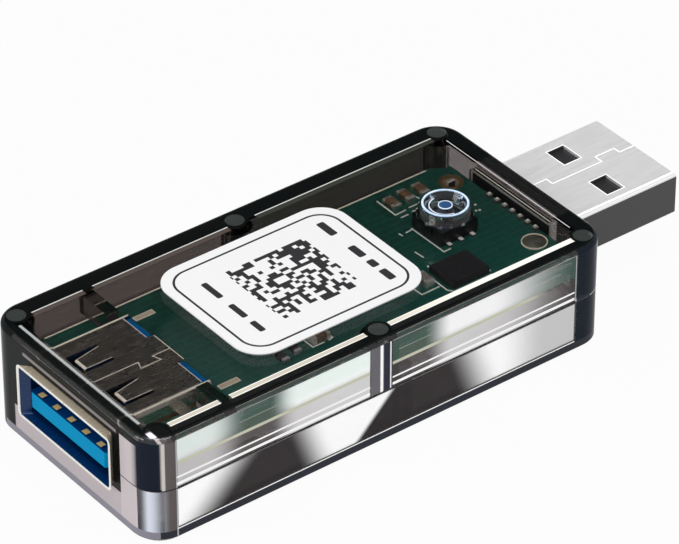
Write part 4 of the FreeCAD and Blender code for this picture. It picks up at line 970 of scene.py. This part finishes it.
# Painted highlights on the shell's roof, as glowing cream lines: both folds, the seam with its dovetail,
# the rear edge, and the rolled free ends of the spring fingers.
SOCKET_ROOF = 0.00985
warm_highlight, tree = new_material("warm_highlight")
edge = principled(tree, Roughness=0.3, Emission_Strength=0.65)
mottle(tree, edge, 900.0, 2.0, (0.62, 0.58, 0.48, 1.0), (0.90, 0.87, 0.78, 1.0), True)
roof_lines = (
    ([(-26.4, 6.02), (-15.6, 6.02)], 0.07),
    ([(-26.4, -6.62), (-15.6, -6.62)], 0.12),
    ([(-26.4, -0.5), (-19.1, -0.5), (-19.45, -1.4), (-17.2, -1.4), (-17.55, -0.5), (-15.6, -0.5)], 0.045),
    ([(-15.56, -2.6), (-15.56, 1.95)], 0.07),
    ([(-16.3, 2.15), (-16.3, 5.8)], 0.05),
    ([(-16.3, -6.35), (-16.3, -2.8)], 0.05),
    ([(-23.42, 1.6), (-23.42, 3.15)], 0.26),
    ([(-23.42, -4.6), (-23.42, -3.05)], 0.26),
    ([(-23.5, 1.58), (-20.55, 1.58)], 0.05),
    ([(-23.5, -4.62), (-20.55, -4.62)], 0.05),
    ([(-23.5, 3.17), (-20.55, 3.72)], 0.04),
    ([(-23.5, -3.03), (-20.55, -2.48)], 0.04),
)
shapes = [
    ribbon(np.array(path) * 0.001, width * 0.001, SOCKET_ROOF - 0.0001, SOCKET_ROOF + 0.00002)
    for path, width in roof_lines
]
points, faces = gather(shapes)
new_piece("socket_bright_lines", points, faces, warm_highlight, smooth=False)
blue, tree = new_material("blue_moulding")
tongue = principled(tree, Roughness=0.5, Specular_IOR_Level=0.05)
mottle(tree, tongue, 700.0, 2.0, (0.0, 0.13, 0.42, 1.0), (0.0, 0.20, 0.56, 1.0))
facing = split(tree, true_normal(tree))
parts = split(tree, object_position(tree))
MOUTH_DEPTH = -0.0200
in_mouth = below(tree, parts[0], MOUTH_DEPTH)
# Painted shade and light: inside the mouth the tongue's top is painted dark navy and its front face a
# lighter cyan.
repaint(tree, tongue, both(tree, in_mouth, above(tree, facing[2], 0.5)), (0.0, 0.05, 0.21, 1.0))
repaint(tree, tongue, both(tree, in_mouth, below(tree, facing[0], -0.5)), (0.0, 0.32, 0.62, 1.0))
dress("socket_insulator", blue)

# Push button. A clear moulded cap with a dished top and a nub in its middle, held under the lid by
# its flange; it presses the small switch on the board. It moves down a quarter of a millimetre.

button_clear, tree = new_material("clear_button")
cap = principled(tree, Metallic=0.0, Roughness=0.03, IOR=1.49, Transmission_Weight=1.0)
parts = split(tree, object_position(tree))
dish = smooth_step(tree, parts[2], 0.0108, 0.0114)
tree.links.new(
    mix_colours(tree, dish, (0.92, 0.95, 0.97, 1.0), (0.34, 0.46, 0.62, 1.0)), cap.inputs["Base Color"]
)
pass_shadows(tree, cap, (0.85, 0.9, 0.95, 1.0))
dress("push_button", button_clear)


def ring_band(centre, inner, outer, low, high, start=0.0, turn=2.0 * pi, sides=64):
    """A flat ring or arc: four points at each angle, on the two radii and the two levels."""
    whole = turn > 2.0 * pi - 0.001
    angle = start + np.linspace(0.0, turn, sides, endpoint=not whole)
    way = np.column_stack([np.cos(angle), np.sin(angle)])
    rows = [
        np.column_stack([np.asarray(centre) + radius * way, np.full(sides, level)])
        for radius, level in ((inner, low), (outer, low), (outer, high), (inner, high))
    ]
    points = np.stack(rows, axis=1).reshape(-1, 3)
    count = sides if whole else sides - 1
    i = np.arange(count)[:, None] * 4
    after = ((np.arange(count)[:, None] + 1) % sides) * 4
    k = np.arange(4)[None, :]
    faces = np.stack([i + k, i + (k + 1) % 4, after + (k + 1) % 4, after + k], axis=-1).reshape(-1, 4)
    if not whole:
        ends = np.array([[3, 2, 1, 0], [0, 1, 2, 3]]) + np.array([[0], [4 * (sides - 1)]])
        faces = np.vstack([faces, ends])
    return points, faces


# A cream rim round the near leg's dome, in the laminate that glows.
points, faces = ring_band(NEAR_LEG, 0.00119, 0.00127, BOARD_TOP, BOARD_TOP + 0.00012)
new_piece("near_leg_rim", points, faces, laminate, smooth=False)
BUTTON_CENTRE = (0.0177, 0.0010)
rim_highlight, tree = new_material("button_rim_highlights")
rim_shader = principled(tree, Roughness=0.15, Emission_Strength=0.35)
mottle(tree, rim_shader, 700.0, 2.0, (0.60, 0.70, 0.82, 1.0), (1.0, 1.0, 1.0, 1.0), True)
# Painted highlights: glowing white rings on the cap's top, an arc inside them and a ring round the nub.
rings = [
    ring_band(BUTTON_CENTRE, 0.00207, 0.00228, 0.01176, 0.01185),
    ring_band(BUTTON_CENTRE, 0.00150, 0.00160, 0.01150, 0.01156, radians(95.0), radians(170.0), 32),
    ring_band(BUTTON_CENTRE, 0.00062, 0.00069, 0.01152, 0.01162),
]
points, faces = gather(rings)
new_piece("button_rim_highlights", points, faces, rim_highlight, body="button")
nub_blue, tree = new_material("button_nub")
nub = principled(tree, Roughness=0.25)
mottle(tree, nub, 900.0, 2.0, (0.07, 0.18, 0.36, 1.0), (0.12, 0.26, 0.48, 1.0))
points, faces = flat_disc(BUTTON_CENTRE, 0.00063, 0.01150, 0.01160, 32)
new_piece("button_nub", points, faces, nub_blue, body="button", smooth=False)

# Studio. A wide pale floor, soft lamps and a white surround, with a black card behind the object.
# The floor and the surround show white to the eye, and pale in metal and clear plastic too; the
# card is what the polished lid reflects.

SEEN_BY_EYE, SEEN_IN_GLASS, SEEN_IN_GLOSS = 0.96, 0.20, 0.50


def background_share(tree):
    """How much of the plain white background each kind of ray gets, the rest being real light."""
    ray = tree.nodes.new("ShaderNodeLightPath")
    glass = times(tree, ray.outputs["Is Transmission Ray"], SEEN_IN_GLASS)
    gloss = times(tree, ray.outputs["Is Glossy Ray"], SEEN_IN_GLOSS)
    eye = times(tree, ray.outputs["Is Camera Ray"], SEEN_BY_EYE)
    return math_node(tree, "MAXIMUM", eye, math_node(tree, "MAXIMUM", glass, gloss))


QUARTERS = ((-1, -1), (1, -1), (1, 1), (-1, 1))


def stage_plane(name, corners, material):
    """One flat stage piece through four corners."""
    mesh = bpy.data.meshes.new(name)
    mesh.from_pydata(corners, [], [(0, 1, 2, 3)])
    piece = bpy.data.objects.new(name, mesh)
    bpy.context.scene.collection.objects.link(piece)
    mesh.materials.append(material)


floor_material, tree = new_material("studio_floor")
ground = tree.nodes.new("ShaderNodeBsdfDiffuse")
ground.inputs["Color"].default_value = (0.50, 0.50, 0.50, 1.0)
glow = tree.nodes.new("ShaderNodeEmission")
glow.inputs["Strength"].default_value = 1.0
set_surface(tree, mix_shaders(tree, background_share(tree), ground, glow))
reach, level = 3.0, -0.0001
corners = [(x_way * reach, y_way * reach, level) for x_way, y_way in QUARTERS]
stage_plane("floor", corners, floor_material)

black_card, tree = new_material("black_card")
principled(tree, Base_Color=(0.003, 0.003, 0.003, 1.0), Roughness=0.9)
card_way = Vector((0.497, 0.644, 0.581))
card_right = Vector((0.792, -0.611, 0.0))
card_up = card_right.cross(card_way)
centre, wide, tall = card_way * 0.60, 0.17, 0.12
across, upward = card_right * wide, card_up * tall
corners = [centre + across * x_way + upward * y_way for x_way, y_way in QUARTERS]
stage_plane("card_behind", corners, black_card)

world = bpy.data.worlds.new("studio")
bpy.context.scene.world = world
world.use_nodes = True
tree = world.node_tree
tree.nodes.clear()
surround = add_node(tree, "ShaderNodeBackground", Color=(1.0, 1.0, 1.0, 1.0), Strength=0.45)
shown = add_node(tree, "ShaderNodeBackground", Color=(1.0, 1.0, 1.0, 1.0), Strength=1.0)
to_eye = mix_shaders(tree, background_share(tree), surround, shown)
world_output = tree.nodes.new("ShaderNodeOutputWorld")
tree.links.new(to_eye.outputs[0], world_output.inputs["Surface"])


def soft_lamp(name, place, target, width, height, power):
    """A rectangular lamp at a place, turned to a target."""
    light = bpy.data.lights.new(name, "AREA")
    light.shape = "RECTANGLE"
    light.size = width
    light.size_y = height
    light.energy = power
    lamp = bpy.data.objects.new(name, light)
    bpy.context.scene.collection.objects.link(lamp)
    lamp.location = place
    lamp.rotation_euler = (Vector(target) - Vector(place)).to_track_quat("-Z", "Y").to_euler()


soft_lamp("top_lamp", (-0.08, -0.14, 0.60), (0, 0, 0), 0.5, 0.4, 2.2)
soft_lamp("left_lamp", (-0.55, 0.10, 0.30), (0, 0, 0), 0.3, 0.3, 1.2)

# Camera. A long lens at the photograph's viewing angle, with no shift.

AZIMUTH, ELEVATION = radians(-37.654), radians(35.519)
TARGET = Vector((0.004298, 0.0, 0.010194))
DISTANCE = 0.43972
FOCAL_PIXELS, PICTURE_WIDTH, SENSOR = 4720.19, 679.0, 36.0
back = Vector((sin(AZIMUTH) * cos(ELEVATION), -cos(AZIMUTH) * cos(ELEVATION), sin(ELEVATION)))
lens = bpy.data.cameras.new("camera")
lens.sensor_width = SENSOR
lens.lens = FOCAL_PIXELS / PICTURE_WIDTH * SENSOR
lens.clip_start = 0.01
lens.clip_end = 20.0
camera = bpy.data.objects.new("camera", lens)
bpy.context.scene.collection.objects.link(camera)
camera.location = TARGET + back * DISTANCE
camera.rotation_euler = back.to_track_quat("Z", "Y").to_euler()
bpy.context.scene.camera = camera
bpy.context.scene.view_settings.view_transform = "Standard"
